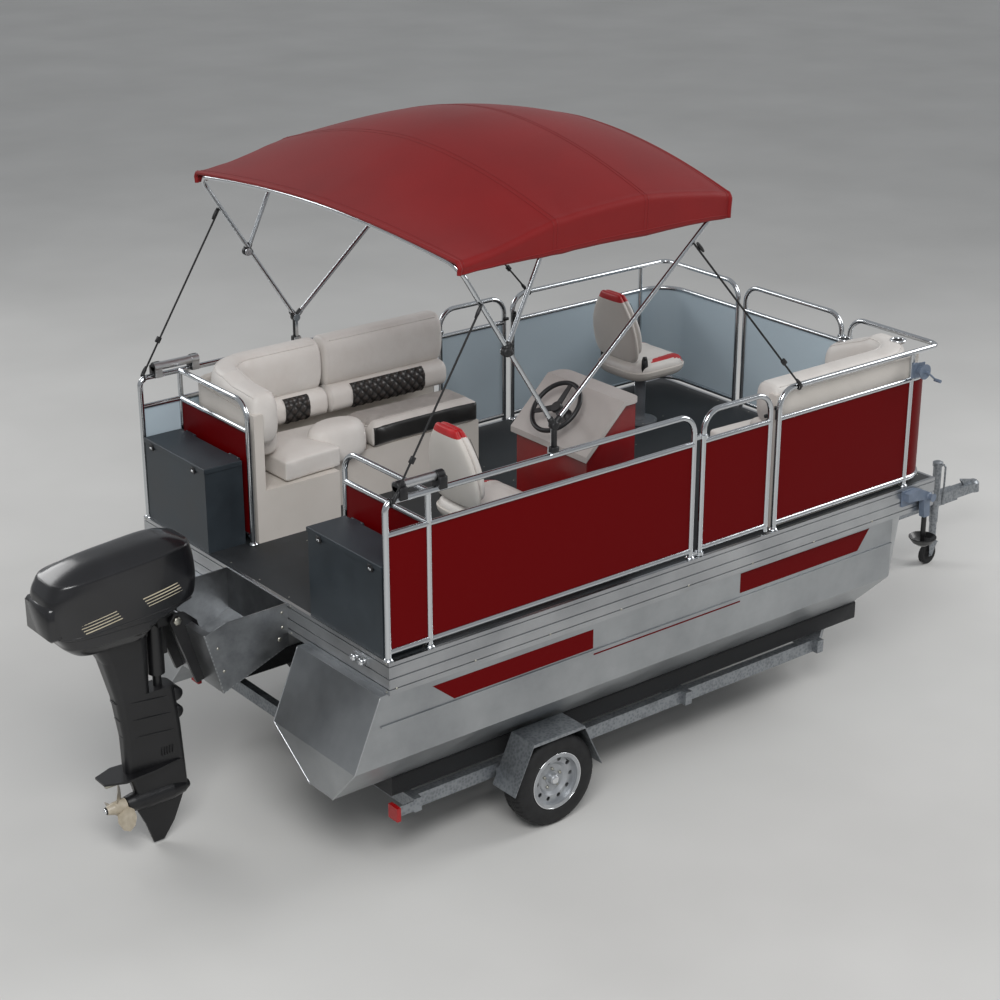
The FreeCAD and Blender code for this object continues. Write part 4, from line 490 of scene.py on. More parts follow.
# the cross fences are red towards the stern
CROSS_X = 0.275
stern_out = reckoned(tree, "LESS_THAN", axes.outputs["X"], deck_aft + CROSS_X)
near_cross = reckoned(tree, "COMPARE", axes.outputs["X"], deck_aft + CROSS_X, 0.0032)
not_side = reckoned(tree, "LESS_THAN", across, FENCE_Y - 0.01)
cross_red = reckoned(tree, "MULTIPLY", stern_out, near_cross)
cross_red = reckoned(tree, "MULTIPLY", cross_red, not_side)
outside = reckoned(tree, "MAXIMUM", bend_out, side_out)
outside = reckoned(tree, "MAXIMUM", outside, bow_out)
outside = reckoned(tree, "MAXIMUM", outside, cross_red)
coat = toned(tree, outside, [(0.49, "#BFCFD8"), (0.51, "#640104")])
peel = noise(tree, where, 260.0, 2.0)
wave = noise(tree, where, 2.5, 2.0)
fine = relief(tree, peel, 0.08, 0.0004)
slow = relief(tree, wave, 0.12, 0.010, fine)
wire(tree, Base_Color=coat, Normal=slow)
dress(sheet_paint, "fence_panels_port", "fence_panels_starboard", *[row[1] for row in GATES])

# Moulded nylon: matt black with a fine spark-eroded grain
nylon = coating("black_nylon", "#141416", 0.48, grain=(700.0, 2.0, 0.3, 0.0003))


def block(low, high, edge=0.002):
    """Moulded block with its twelve edges cut back: each corner becomes three places, one per face."""
    low, high = np.minimum(low, high).astype(float), np.maximum(low, high).astype(float)
    edge = min(edge, 0.3 * (high - low).min())
    signs = np.array([(i, j, k) for i in (0, 1) for j in (0, 1) for k in (0, 1)])
    corner = low + signs * (high - low)
    inward = edge * (1 - 2 * signs)
    places = np.concatenate([corner + inward * (1 - np.eye(3)[axis]) for axis in range(3)])

    def number(axis, end, a, b):
        """Which of the eight corners lies at one end of an axis and two ends across it."""
        bits = np.insert([a, b], axis, end)
        return int(bits @ (4, 2, 1))

    faces = [[8 * axis + number(axis, end, a, b) for a, b in ((0, 0), (1, 0), (1, 1), (0, 1))]
             for axis in range(3) for end in (0, 1)]
    faces += [[i, 8 + i, 16 + i] for i in range(8)]
    for axis in range(3):
        u, v = [8 * other for other in range(3) if other != axis]
        for a, b in ((0, 0), (0, 1), (1, 0), (1, 1)):
            first, last = number(axis, 0, a, b), number(axis, 1, a, b)
            faces.append([u + first, u + last, v + last, v + first])
    return places, faces


# Feet: each post stands in a welded flange, screwed down with two screws
TUBE = 0.016
POSTS = [(0.018, FENCE_Y), (CROSS_X, FENCE_Y), (CROSS_X, 0.470), (2.060, FENCE_Y), (2.710, FENCE_Y),
         (3.810, FENCE_Y), (FENCE_X, 0.490)]
feet, heads = [], []
for x, y in POSTS:
    for side in (-1, 1):
        inset = -0.012 if y > 1.0 else 0.0
        feet.append(turned([(0.0, TUBE), (0.0, 0.028), (0.004, 0.028), (0.008, 0.021), (0.014, 0.0185),
                            (0.014, TUBE)],
                           at(x, side * y, 0.0005), (0, 0, 1), 20))
        for way in (-1, 1):
            spot = at(x + way * 0.022, side * (y + inset), 0.005)
            heads.append(dome(spot, (0, 0, 1), 0.004, 0.002, 6, 2))
mesh_piece("post_feet", *joined(feet), rail, ROOT, "rail_tube")
mesh_piece("post_foot_screws", *joined(heads), zinc, ROOT, "rail_tube")

# Latches: a black nylon catch on the fixed post beside each side gate, and its keeper on the gate
RAIL_MID, CATCH_X = 0.672, 2.709         # the lower rail's height and the fixed post's place
KEEPER = (2.618, 2.660)
for side, body in ((-1, "gate_starboard_body"), (1, "gate_port_body")):
    inside = side * (FENCE_Y - TUBE - 0.010)
    catch = [block(at(CATCH_X - 0.019, inside - 0.014, RAIL_MID - 0.006),
                   at(CATCH_X + 0.019, side * (FENCE_Y - 0.010), RAIL_MID + 0.052), 0.003),
             turned([(-0.004, 0.0), (-0.004, 0.010), (0.012, 0.010), (0.014, 0.007), (0.014, 0.0)],
                    at(CATCH_X, inside, RAIL_MID + 0.052), (0, 0, 1), 16)]
    mesh_piece(f"latch_{body[5:9]}", *joined(catch), nylon, ROOT, "black_plastic")
    keeper = block(at(KEEPER[0], side * (FENCE_Y - 0.030), RAIL_MID + 0.018),
                   at(KEEPER[1], side * (FENCE_Y - 0.014), RAIL_MID + 0.036))
    mesh_piece(f"latch_keeper_{body[5:9]}", *keeper, nylon, body, "black_plastic")

# ---------------------------------------------------------------- stern lockers
# Rotationally moulded charcoal polyethylene boxes with a hinged lid, one each side of the stern.
# Each has two small snap latches at the head of its aft face.
moulded = coating("charcoal_polyethylene", "#2B3237", 0.44, mottle=(4.0, 4.0),
                  tones=[(0.3, "#262C31"), (0.75, "#333B41")], gloss=(0.32, 0.55),
                  grain=(420.0, 3.0, 0.25, 0.0003))
dress(moulded, "locker_bodies", "locker_port_lid", "locker_starboard_lid")
LATCH_Y = (0.620, 1.075)                # from the centre line
for side, word in ((-1, "starboard"), (1, "port")):
    lid_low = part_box(f"locker_{word}_lid")[0]
    tabs, plates = [], []
    for y in LATCH_Y:
        tabs.append(block((lid_low.x - 0.006, side * y - 0.020, lid_low.z - 0.022),
                          (lid_low.x + 0.004, side * y + 0.020, lid_low.z + 0.012)))
        plates.append(block((lid_low.x - 0.009, side * y - 0.011, lid_low.z - 0.015),
                            (lid_low.x, side * y + 0.011, lid_low.z - 0.004), 0.001))
    mesh_piece(f"locker_{word}_latches", *joined(tabs), nylon, f"locker_{word}_lid_body", "black_plastic")
    mesh_piece(f"locker_{word}_latch_pulls", *joined(plates), chrome, f"locker_{word}_lid_body",
               "black_plastic")

# ---------------------------------------------------------------- lounges
# Two L-shaped lounges: a rotationally moulded off-white base and shell carries foam cushions
# sewn from marine vinyl, off-white with a grey inset and black quilted panels, edged with piping.

# Marine vinyl: soft off-white sheet with a pressed leather grain and slow wrinkles from the foam below
vinyl = coating("marine_vinyl_off_white", "#D6D1CB", 0.46, mottle=(3.0, 5.0, 0.6),
                tones=[(0.32, "#D0CAC4"), (0.66, "#DBD7D2")], gloss=(0.36, 0.56),
                pores=(420.0, 0.22, 0.0006), wrinkles=(9.0, 4.0, 0.8, 0.30, 0.006), Sheen_Weight=0.06,
                Specular_IOR_Level=0.42)

# The same vinyl in grey, for the seats' insets
grey_vinyl = coating("marine_vinyl_grey", "#ADA7A2", 0.50, tones=[(0.32, "#A39D98"), (0.66, "#B3ADA8")],
                     pores=(420.0, 0.22, 0.0006), wrinkles=(11.0, 4.0, 0.8, 0.32, 0.005),
                     Sheen_Weight=0.06, Specular_IOR_Level=0.4)

# Black vinyl for the quilted panels: a deep matt black with a leather grain
black_vinyl = coating("marine_vinyl_black", "#1D1C1C", 0.34, mottle=(8.0, 4.0),
                      tones=[(0.3, "#191818"), (0.7, "#252423")], pores=(380.0, 0.3, 0.0006),
                      Sheen_Weight=0.10, Specular_IOR_Level=0.5)

# The quilted panels' black vinyl has a painted highlight, browner and lighter, on top of each diamond and
# painted shade along its stitches; the tops are also glossier
quilt_vinyl_painted_light, tree, where = finish("quilted_black_vinyl_painted_light", "#1D1C1C", 0.34, Specular_IOR_Level=0.5)
height = add(tree, "ShaderNodeAttribute", attribute_name="plump", attribute_type="GEOMETRY")
tone = toned(tree, height.outputs["Fac"], [(0.05, "#0B0B0B"), (0.9, "#3B3633")])
gloss = ranged(tree, height.outputs["Fac"], 0.6, 0.28)
wire(tree, Base_Color=tone, Roughness=gloss)

# Polyethylene base: off-white, matt, with a faint orange peel from the mould
shell_plastic = coating("rotomoulded_polyethylene", "#CBC4BB", 0.50, mottle=(2.5, 4.0),
                        tones=[(0.3, "#CCC6BE"), (0.7, "#D8D2CB")], grain=(320.0, 3.0, 0.2, 0.0004))
dress(shell_plastic, "lounge_aft_shell", "lounge_bow_shell")

# name, end of the long bench from the closed end, split between its two cushions if any
AFT_CLOSED, BOW_CLOSED = 0.305, 4.005
UNITS = {"aft": (1.705, 0.820), "bow": (1.290, None)}
BACK_MID, BACK_HALF = 1.066, 0.090      # centre of the back cushions from the centre line, half their depth
LEG_MID, LEG_END = 0.098, 0.462         # centre of the short leg's back from the closed end, its inner end
BACK_BEND = 0.240
SEAT_LOW, SEAT_HIGH = 0.306, 0.455


def unit_place(unit, distance, across, high):
    """Place in a lounge: distance from its closed end, from the centre line, and height above the deck."""
    if unit == "aft":
        return at(AFT_CLOSED + distance, across, high)
    return at(BOW_CLOSED - distance, -np.asarray(across), high)


def ell_route(end, inset=0.0, step=0.012):
    """Two straight runs joined by a quarter circle, moved inwards by an inset: rows of two distances."""
    leg, bench, bend = LEG_MID + inset, BACK_MID - inset, BACK_BEND - inset
    first = np.array([leg, LEG_END])
    turn = np.radians(np.linspace(180.0, 90.0, 24))
    arc = np.array([leg + bend, bench - bend]) + bend * np.stack([np.cos(turn), np.sin(turn)], axis=1)
    last = np.array([end, bench])
    corners = [np.linspace(first, arc[0], int(abs(arc[0, 1] - first[1]) / step))[:-1], arc,
               np.linspace(arc[-1], last, int(abs(last[0] - arc[-1, 0]) / step))[1:]]
    return np.concatenate(corners)


def travelled(route):
    """Distance along a route to each of its places."""
    return np.concatenate([[0.0], np.cumsum(np.linalg.norm(np.diff(route, axis=0), axis=1))])


def rounded(value, power):
    """A power of a value's size, with its sign."""
    return np.sign(value) * np.abs(value) ** power


def roll(unit, route, depth, low, high, power=3.0, angles=None, proud=0.0, ends=(0.05, 0.05)):
    """Superellipse rings along a route, drawn in at its ends.

    Half the depth across the route times a power of the cosine, half the height times a power of the
    sine, both times a factor that goes from nothing at each end to one a short way in.
    """
    heading = np.gradient(route, axis=0)
    heading /= np.linalg.norm(heading, axis=1, keepdims=True)
    inward = np.stack([heading[:, 1], -heading[:, 0]], axis=1)
    run = travelled(route)
    angles = np.linspace(0, 2 * np.pi, 36, endpoint=False) if angles is None else angles
    wide, tall = rounded(np.cos(angles), 2 / power), rounded(np.sin(angles), 2 / power)
    near = [np.clip(run / max(ends[0], 1e-6), 0, 1), np.clip((run[-1] - run) / max(ends[1], 1e-6), 0, 1)]
    drawn = np.prod([(1 - (1 - share) ** 2.6) ** (1 / 2.6) for share in near], axis=0)
    depth, low, high = (np.broadcast_to(np.asarray(v, float), run.shape) for v in (depth, low, high))
    middle, half = (low + high) / 2, (high - low) / 2
    across = (depth * drawn)[:, None] * wide[None, :] + proud * wide[None, :]
    up = middle[:, None] + (half * drawn)[:, None] * tall[None, :] + proud * tall[None, :]
    flat = route[:, None, :] + across[:, :, None] * inward[:, None, :]
    return unit_place(unit, flat[..., 0], flat[..., 1], up)


def closed_roll(grid):
    """Faces of rings that already meet in a point at both ends."""
    return grid.reshape(-1, 3), grid_faces(grid.shape[0], grid.shape[1])


def thick(outer, inner):
    """Closed sheet from two grids of the same size: both faces and the strip round their borders."""
    rows, columns = outer.shape[:2]
    count = rows * columns
    face = grid_faces(rows, columns, loop_columns=False)
    index = np.arange(count).reshape(rows, columns)
    border = np.concatenate([index[0, :-1], index[:-1, -1], index[-1, :0:-1], index[:0:-1, 0]])
    strip = np.stack([border, np.roll(border, -1), np.roll(border, -1) + count, border + count], axis=1)
    faces = np.concatenate([face, face[:, ::-1] + count, strip])
    return np.concatenate([outer.reshape(-1, 3), inner.reshape(-1, 3)]), faces


def leg_share(route):
    """Nothing at the short leg's inner end, one at the corner and all along the bench."""
    climbed = np.clip((route[:, 1] - LEG_END) / (BACK_MID - BACK_BEND - LEG_END), 0, 1)
    return climbed * (route[:, 0] < 0.4) + (route[:, 0] >= 0.4)


def between(route, first, last):
    """The part of a route between two distances along it."""
    run = travelled(route)
    return route[(run >= first) & (run <= last)]


# the back cushions: their foot rises and their top climbs from the leg's rounded end to the corner
UPPER_LOW = {"aft": [(0.0, 0.545), (0.3, 0.570), (1.0, 0.598)],
             "bow": [(0.0, 0.470), (0.15, 0.480), (0.5, 0.545), (1.0, 0.598)]}
UPPER_HIGH = {"aft": [(0.0, 0.838), (0.1, 0.862), (0.7, 0.872), (1.0, 0.903)],
              "bow": [(0.0, 0.690), (0.12, 0.715), (0.85, 0.815), (1.0, 0.845)]}
GAP = 0.004
QUILT = 0.062                       # width of a diamond
PIPING = 0.0036
LUMBAR_IN = 0.062                   # its line inside the back's
LUMBAR = (0.078, 0.452, 0.612, 2.6)  # half its depth, its foot and head, its roundness
quilted = {"aft": [(0.806, 0.986), (1.281, 1.821)], "bow": [(0.80, 1.42)]}
for unit, (length, split) in UNITS.items():
    route = ell_route(length - 0.006)
    run = travelled(route)
    cut = run[-1] - (length - 0.006 - split) if split else None
    stretches = [(0.0, cut - GAP), (cut + GAP, run[-1])] if split else [(0.0, run[-1])]
    for number, (first, last) in enumerate(stretches):
        part = between(route, first, last)
        share = leg_share(part)
        low = np.interp(share, *zip(*UPPER_LOW[unit]))
        high = np.interp(share, *zip(*UPPER_HIGH[unit]))
        grid = roll(unit, part, BACK_HALF, low, high, 2.9, ends=(0.075 if number == 0 else 0.030, 0.035))
        piece = mesh_piece(f"lounge_{unit}_back_{number}", *closed_roll(grid), vinyl, ROOT, "upholstery")
        if number == 0:
            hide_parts(f"lounge_{unit}_backs")
        # piping along the front and back of its upper edge
        seams = []
        for angle in (0.30 * np.pi, 0.70 * np.pi):
            edge = roll(unit, part, BACK_HALF, low, high, 2.9, angles=np.array([angle]), proud=0.0008,
                        ends=(0.075 if number == 0 else 0.030, 0.035))[4:-4, 0]
            seams.append(tube(edge, PIPING, 6))
        mesh_piece(f"lounge_{unit}_back_piping_{number}", *joined(seams), vinyl, ROOT, "upholstery")

    # the lumbar roll below, in front of the shell, from the leg to the end of the bench
    inner_route = ell_route(length - 0.010, LUMBAR_IN)
    inner_run = travelled(inner_route)
    shift = inner_run[-1] - run[-1]
    starts = [(0.10, cut + shift - GAP),
              (cut + shift + GAP, inner_run[-1])] if split else [(0.10, inner_run[-1])]
    for number, (first, last) in enumerate(starts):
        part = between(inner_route, first, last)
        sewn = (0.060 if number == 0 else 0.012, 0.012 if split and number == 0 else 0.035)
        grid = roll(unit, part, *LUMBAR, ends=sewn)
        piece = mesh_piece(f"lounge_{unit}_lumbar_{number}", *closed_roll(grid), vinyl, ROOT, "upholstery")

    # quilted panels sewn on the roll's face: diamonds of foam between crossing rows of stitches
    for number, (first, last) in enumerate(quilted[unit]):
        fine = ell_route(length - 0.010, LUMBAR_IN, 0.004)
        last = min(last, travelled(fine)[-1] - 0.055)
        part = between(fine, first, last)
        places = travelled(part)
        face = np.linspace(-0.36 * np.pi, 0.36 * np.pi, 44)
        base = roll(unit, part, *LUMBAR, angles=face, ends=(1e-6, 1e-6))
        higher = np.cumsum(np.linalg.norm(np.diff(base[len(base) // 2], axis=0), axis=1))
        tall = np.concatenate([[0.0], higher])
        u, v = places[:, None] / QUILT, tall[None, :] / QUILT
        puff = (np.abs(np.sin(np.pi * (u + v)) * np.sin(np.pi * (u - v))) + 1e-9) ** 0.75
        rim = np.minimum(np.minimum(places, places[-1] - places)[:, None],
                         np.minimum(tall, tall[-1] - tall)[None, :])
        puff *= np.clip(rim / 0.012, 0, 1) ** 0.5
        rise = 0.0016 + 0.0095 * puff
        outward = roll(unit, part, *LUMBAR, angles=face, proud=0.01, ends=(1e-6, 1e-6)) - base
        outward /= np.linalg.norm(outward, axis=2, keepdims=True)
        panel = mesh_piece(f"lounge_{unit}_quilt_{number}",
                           *thick(base + outward * rise[..., None], base - outward * 0.004),
                           quilt_vinyl_painted_light, ROOT, "upholstery")
        # the puff heights drive the quilted material's painted highlight on the diamonds' tops and painted
        # shade along the stitches
        plump = panel.data.attributes.new("plump", "FLOAT", "POINT")
        plump.data.foreach_set("value", np.concatenate([puff.ravel(), 0 * puff.ravel()]).astype(np.float32))
        border = np.concatenate([base[:, 0], base[-1, 1:], base[-2::-1, -1], base[0, -2:0:-1]])[::3]
        border = np.concatenate([border, border[:1]])
        mesh_piece(f"lounge_{unit}_quilt_piping_{number}", *tube(border, 0.0030, 6), vinyl, ROOT,
                   "upholstery")


CLOTH_FRAMES = 20                       # of the cloth's swelling


def blown(places, faces, voxel, swell, pressure=4.0):
    """Foam-filled cover: the shape remeshed, then swollen by cloth pressure, but by the swell at most."""
    mesh = bpy.data.meshes.new("cover")
    mesh.from_pydata(np.asarray(places).tolist(), [], [list(map(int, face)) for face in faces])
    cover = bpy.data.objects.new("cover", mesh)
    bpy.context.scene.collection.objects.link(cover)
    remesh = cover.modifiers.new("remesh", "REMESH")
    remesh.mode = "VOXEL"
    remesh.voxel_size = voxel
    dense_mesh = bpy.data.meshes.new_from_object(cover.evaluated_get(bpy.context.evaluated_depsgraph_get()))
    cover.modifiers.clear()
    cover.data = dense_mesh
    count = len(dense_mesh.vertices)
    rest = np.empty(count * 3)
    dense_mesh.vertices.foreach_get("co", rest)
    rest = rest.reshape(-1, 3)
    after = rest.copy()
    cloth = cover.modifiers.new("cloth", "CLOTH")
    cloth.settings.use_pressure = True
    cloth.settings.uniform_pressure_force = pressure
    cloth.settings.effector_weights.gravity = 0.0
    cloth.settings.tension_stiffness = cloth.settings.compression_stiffness = 12.0
    cloth.settings.quality = 4
    cloth.collision_settings.use_collision = False
    cloth.point_cache.frame_start, cloth.point_cache.frame_end = 1, CLOTH_FRAMES
    for number in range(1, CLOTH_FRAMES + 1):
        bpy.context.scene.frame_set(number)
    swollen = cover.evaluated_get(bpy.context.evaluated_depsgraph_get()).to_mesh()
    moved = np.empty(count * 3)
    swollen.vertices.foreach_get("co", moved)
    after = moved.reshape(-1, 3)
    cover.modifiers.clear()
    bpy.context.scene.frame_set(1)
    shift = after - rest
    far = np.linalg.norm(shift, axis=1, keepdims=True)
    after = rest + shift * np.minimum(1.0, swell / np.maximum(far, 1e-9))
    quads = [list(polygon.vertices) for polygon in dense_mesh.polygons]
    bpy.data.objects.remove(cover)
    return after, quads


def upholstered(name, places, faces, material, levels=1):
    """Sewn cover of one vinyl, smoothed by one subdivision."""
    piece = mesh_piece(name, places, faces, material, ROOT, "upholstery")
    smooth = piece.modifiers.new("smooth", "SUBSURF")
    smooth.levels = smooth.render_levels = levels
    return piece


def met(tree, origins, heading):
    """Where rays from a grid of places meet a cover, as a grid of the same size."""
    hits = [tree.ray_cast(tuple(origin), tuple(heading))[0] for origin in origins.reshape(-1, 3)]
    hits = np.array([origin if hit is None else hit for hit, origin in zip(hits, origins.reshape(-1, 3))],
                    float)
    return hits.reshape(origins.shape)


def padded_patch(base, outward, puff):
    """A sewn-in panel: a closed sheet over a grid of places, domed in its middle and sunk at its seam."""
    u, v = np.meshgrid(np.linspace(-1, 1, base.shape[0]), np.linspace(-1, 1, base.shape[1]), indexing="ij")
    crown = np.clip((1 - u ** 6) * (1 - v ** 6), 0, 1) ** 0.5
    rise = (0.0008 + puff * crown)[..., None] * np.asarray(outward)
    return thick(base + rise, base - 0.003 * np.asarray(outward))


def draped(unit, tree, first, last, near, far):
    """Grey panel let into the top of a seat, between two distances and two places across."""
    d, w = np.meshgrid(np.linspace(first, last, 60), np.linspace(near, far, 40), indexing="ij")
    base = met(tree, unit_place(unit, d, w, SEAT_HIGH + 0.10), (0, 0, -1))
    base[..., 2] = np.minimum(base[..., 2], deck_top + SEAT_HIGH + 0.012)
    places, faces = padded_patch(base, (0, 0, 1), 0.0035)
    return places, faces if unit == "aft" else faces[:, ::-1]


def fronted(unit, tree, first, last, under, over):
    """Black band sewn along a seat's front, between two distances and two heights."""
    d, z = np.meshgrid(np.linspace(first, last, 70), np.linspace(under, over, 14), indexing="ij")
    way = 1.0 if unit == "aft" else -1.0
    base = met(tree, unit_place(unit, d, 0.40 + 0 * d, z), (0, way, 0))
    places, faces = padded_patch(base, (0, -way, 0), 0.0030)
    return places, faces if unit == "bow" else faces[:, ::-1]


# Seats: foam blocks in vinyl covers, with a grey inset on the aft bench and a black band on each front
BENCH_EDGE, LEG_SIDE = 0.604, 0.598      # front edges of the bench and of the short leg
INNER_BACK, SEAT_BACK = 0.175, 0.930
SWELL = 0.020
# grey insets and black bands of each cushion: two distances from the closed end, then two places
# across or two heights
INSETS = {"aft": [[], [(0.915, 1.660, 0.690, 0.895)]], "bow": [[]]}
BANDS = {"aft": [[], [(0.918, 1.672, 0.322, 0.430)]], "bow": [[(0.640, 1.255, 0.322, 0.430)]]}
SEATS = {"aft": [[(INNER_BACK, SEAT_BACK), (INNER_BACK, 0.462), (LEG_SIDE, 0.462),
                  (LEG_SIDE, BENCH_EDGE), (0.882, BENCH_EDGE), (0.882, SEAT_BACK)],
                 [(0.890, SEAT_BACK), (0.890, BENCH_EDGE), (1.700, BENCH_EDGE), (1.700, SEAT_BACK)]],
         "bow": [[(INNER_BACK, SEAT_BACK), (INNER_BACK, 0.462), (LEG_SIDE, 0.462),
                  (LEG_SIDE, BENCH_EDGE), (1.284, BENCH_EDGE), (1.284, SEAT_BACK)]]}


def back_to_unit(unit, places):
    """Distances in a lounge of places in the frame: from its closed end, from the centre line, height."""
    if unit == "aft":
        return places[:, 0] - deck_aft - AFT_CLOSED, places[:, 1], places[:, 2] - deck_top
    return BOW_CLOSED + deck_aft - places[:, 0], -places[:, 1], places[:, 2] - deck_top


for unit, outlines in SEATS.items():
    for number, outline in enumerate(outlines):
        outline = np.array(outline)
        middle = outline.mean(axis=0)
        inset = outline + np.sign(middle - outline) * 0.010
        low = unit_place(unit, inset[:, 0], inset[:, 1], SEAT_LOW + 0.006)
        high = unit_place(unit, inset[:, 0], inset[:, 1], SEAT_HIGH - 0.020)
        places, faces = blown(*slab(inset, low, high), 0.017, SWELL)
        d, w, z = back_to_unit(unit, places)
        d = np.clip(d, outline[:, 0].min() - 0.002, outline[:, 0].max() + 0.002)
        w = np.clip(w, outline[:, 1].min() - 0.012, outline[:, 1].max() + 0.004)
        z = np.clip(z, SEAT_LOW, SEAT_HIGH + 0.010)
        places = unit_place(unit, d, w, z)
        cover = upholstered(f"lounge_{unit}_seat_{number}", places, faces, vinyl)
        if number == 0:
            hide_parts(f"lounge_{unit}_seats")
        tree_of_cover = BVHTree.FromPolygons(places.tolist(), faces)
        for place, (first, last, near, far) in enumerate(INSETS[unit][number]):
            patch = draped(unit, tree_of_cover, first, last, near, far)
            mesh_piece(f"lounge_{unit}_inset_{number}_{place}", *patch, grey_vinyl, ROOT,
                                 "upholstery")
        for place, (first, last, under, over) in enumerate(BANDS[unit][number]):
            patch = fronted(unit, tree_of_cover, first, last, under, over)
            mesh_piece(f"lounge_{unit}_band_{number}_{place}", *patch, black_vinyl, ROOT,
                                 "upholstery")

# the corner seat's front edge is a large rounded bolster, and drink holders sit in both backs
turn = np.linspace(0, 2 * np.pi, 48, endpoint=False)
lift = np.linspace(-np.pi / 2, np.pi / 2, 21)
shrink = np.abs(np.cos(lift)) ** 0.42
bulge = rounded(np.sin(lift), 0.72)
plump = np.stack(np.broadcast_arrays(0.190 * shrink[:, None] * np.cos(turn),
                                     0.100 * shrink[:, None] * np.sin(turn) + 0.022 * bulge[:, None],
                                     0.112 * bulge[:, None]), axis=-1) + at(0.990, 0.668, 0.404)
bolster = mesh_piece("lounge_bolster", plump.reshape(-1, 3), grid_faces(21, 48), vinyl, ROOT, "upholstery")
CUPS = [("aft", 0.100, 0.880, 0.886), ("bow", 0.100, 0.570, 0.748), ("bow", 0.100, 0.990, 0.846)]
rings, wells = [], []
for unit, d, w, z in CUPS:
    middle = unit_place(unit, d, w, z)
    rings.append(turned([(-0.010, 0.0345), (0.002, 0.0345), (0.006, 0.040), (0.005, 0.047),
                         (0.0, 0.049), (-0.010, 0.047), (-0.010, 0.0345)],
                        middle, (0, 0, 1), 28))
    wells.append(turned([(0.001, 0.0), (0.001, 0.0345), (-0.010, 0.0345), (-0.010, 0.0)],
                        middle, (0, 0, 1), 28))
mesh_piece("cup_rings", *joined(rings), chrome, ROOT, "rail_tube")
mesh_piece("cup_wells", *joined(wells), nylon, ROOT, "black_plastic")

# ---------------------------------------------------------------- pedestal chairs
# Low-back fishing chairs on steel pedestals: a moulded off-white tub holds a vinyl seat cushion,
# and a folding back, narrow at its head, is hinged between its cheeks.  The head is red vinyl.
red_vinyl = coating("marine_vinyl_red", "#B51A1F", 0.42, mottle=(12.0, 4.0),
                    tones=[(0.3, "#A8171C"), (0.7, "#BF2227")], pores=(420.0, 0.22, 0.0006),
                    Sheen_Weight=0.06, Specular_IOR_Level=0.42)

# Painted steel tube: mid-grey, satin
stem_paint = coating("grey_powder_coat", "#6E7175", 0.36, mottle=(9.0, 4.0),
                     tones=[(0.3, "#62656A"), (0.7, "#777A7E")], grain=(500.0, 2.0, 0.2, 0.0004),
                     Metallic=0.0)
dress(stem_paint, "chair_stems")


def superellipse(count, power):
    """Cosine and sine raised to two over a power, keeping their signs: a round-cornered rectangle."""
    turn = np.linspace(0, 2 * np.pi, count, endpoint=False)
    return rounded(np.cos(turn), 2 / power), rounded(np.sin(turn), 2 / power)


def stack(rows, power, count=40, samples=48, lean=None):
    """Level superellipses through rows of (height, x, y, half x, half y).

    Between two rows each value follows the cubic whose end slopes are half the step between the
    neighbours on either side.
    """
    rows = np.asarray(rows, float)
    steps = np.linspace(0, len(rows) - 1, samples)
    whole = np.minimum(steps.astype(int), len(rows) - 2)
    part = (steps - whole)[:, None]
    before, after = rows[np.maximum(whole - 1, 0)], rows[np.minimum(whole + 2, len(rows) - 1)]
    first, last = rows[whole], rows[whole + 1]
    eased = 0.5 * (2 * first + (last - before) * part
                   + (2 * before - 5 * first + 4 * last - after) * part ** 2
                   + (3 * first - before - 3 * last + after) * part ** 3)
    wide, tall = superellipse(count, power)
    x = eased[:, 1:2] + np.maximum(eased[:, 3:4], 0) * wide[None, :]
    y = eased[:, 2:3] + np.maximum(eased[:, 4:5], 0) * tall[None, :]
    z = np.broadcast_to(eased[:, 0:1], x.shape)
    grid = np.stack([x, y, z], axis=-1)
    return grid if lean is None else lean(grid)


def capped(grid):
    """Places and faces of a stack of rings, with a flat face at each end."""
    rings, count = grid.shape[:2]
    ends = [list(range(count))[::-1], list(range((rings - 1) * count, rings * count))]
    return grid.reshape(-1, 3), grid_faces(rings, count).tolist() + ends


def painted(piece, made, rule):
    """Gives a second material to the faces that a rule picks by their centres."""
    piece.data.materials.append(made)
    centre = np.empty(len(piece.data.polygons) * 3)
    piece.data.polygons.foreach_get("center", centre)
    piece.data.polygons.foreach_set("material_index", rule(centre.reshape(-1, 3)).astype(np.int32))


def bell(value, centre, width, power=2):
    """Bump of height one about a centre: the exponential of minus a power of distance over width."""
    return np.exp(-((value - centre) / width) ** power)


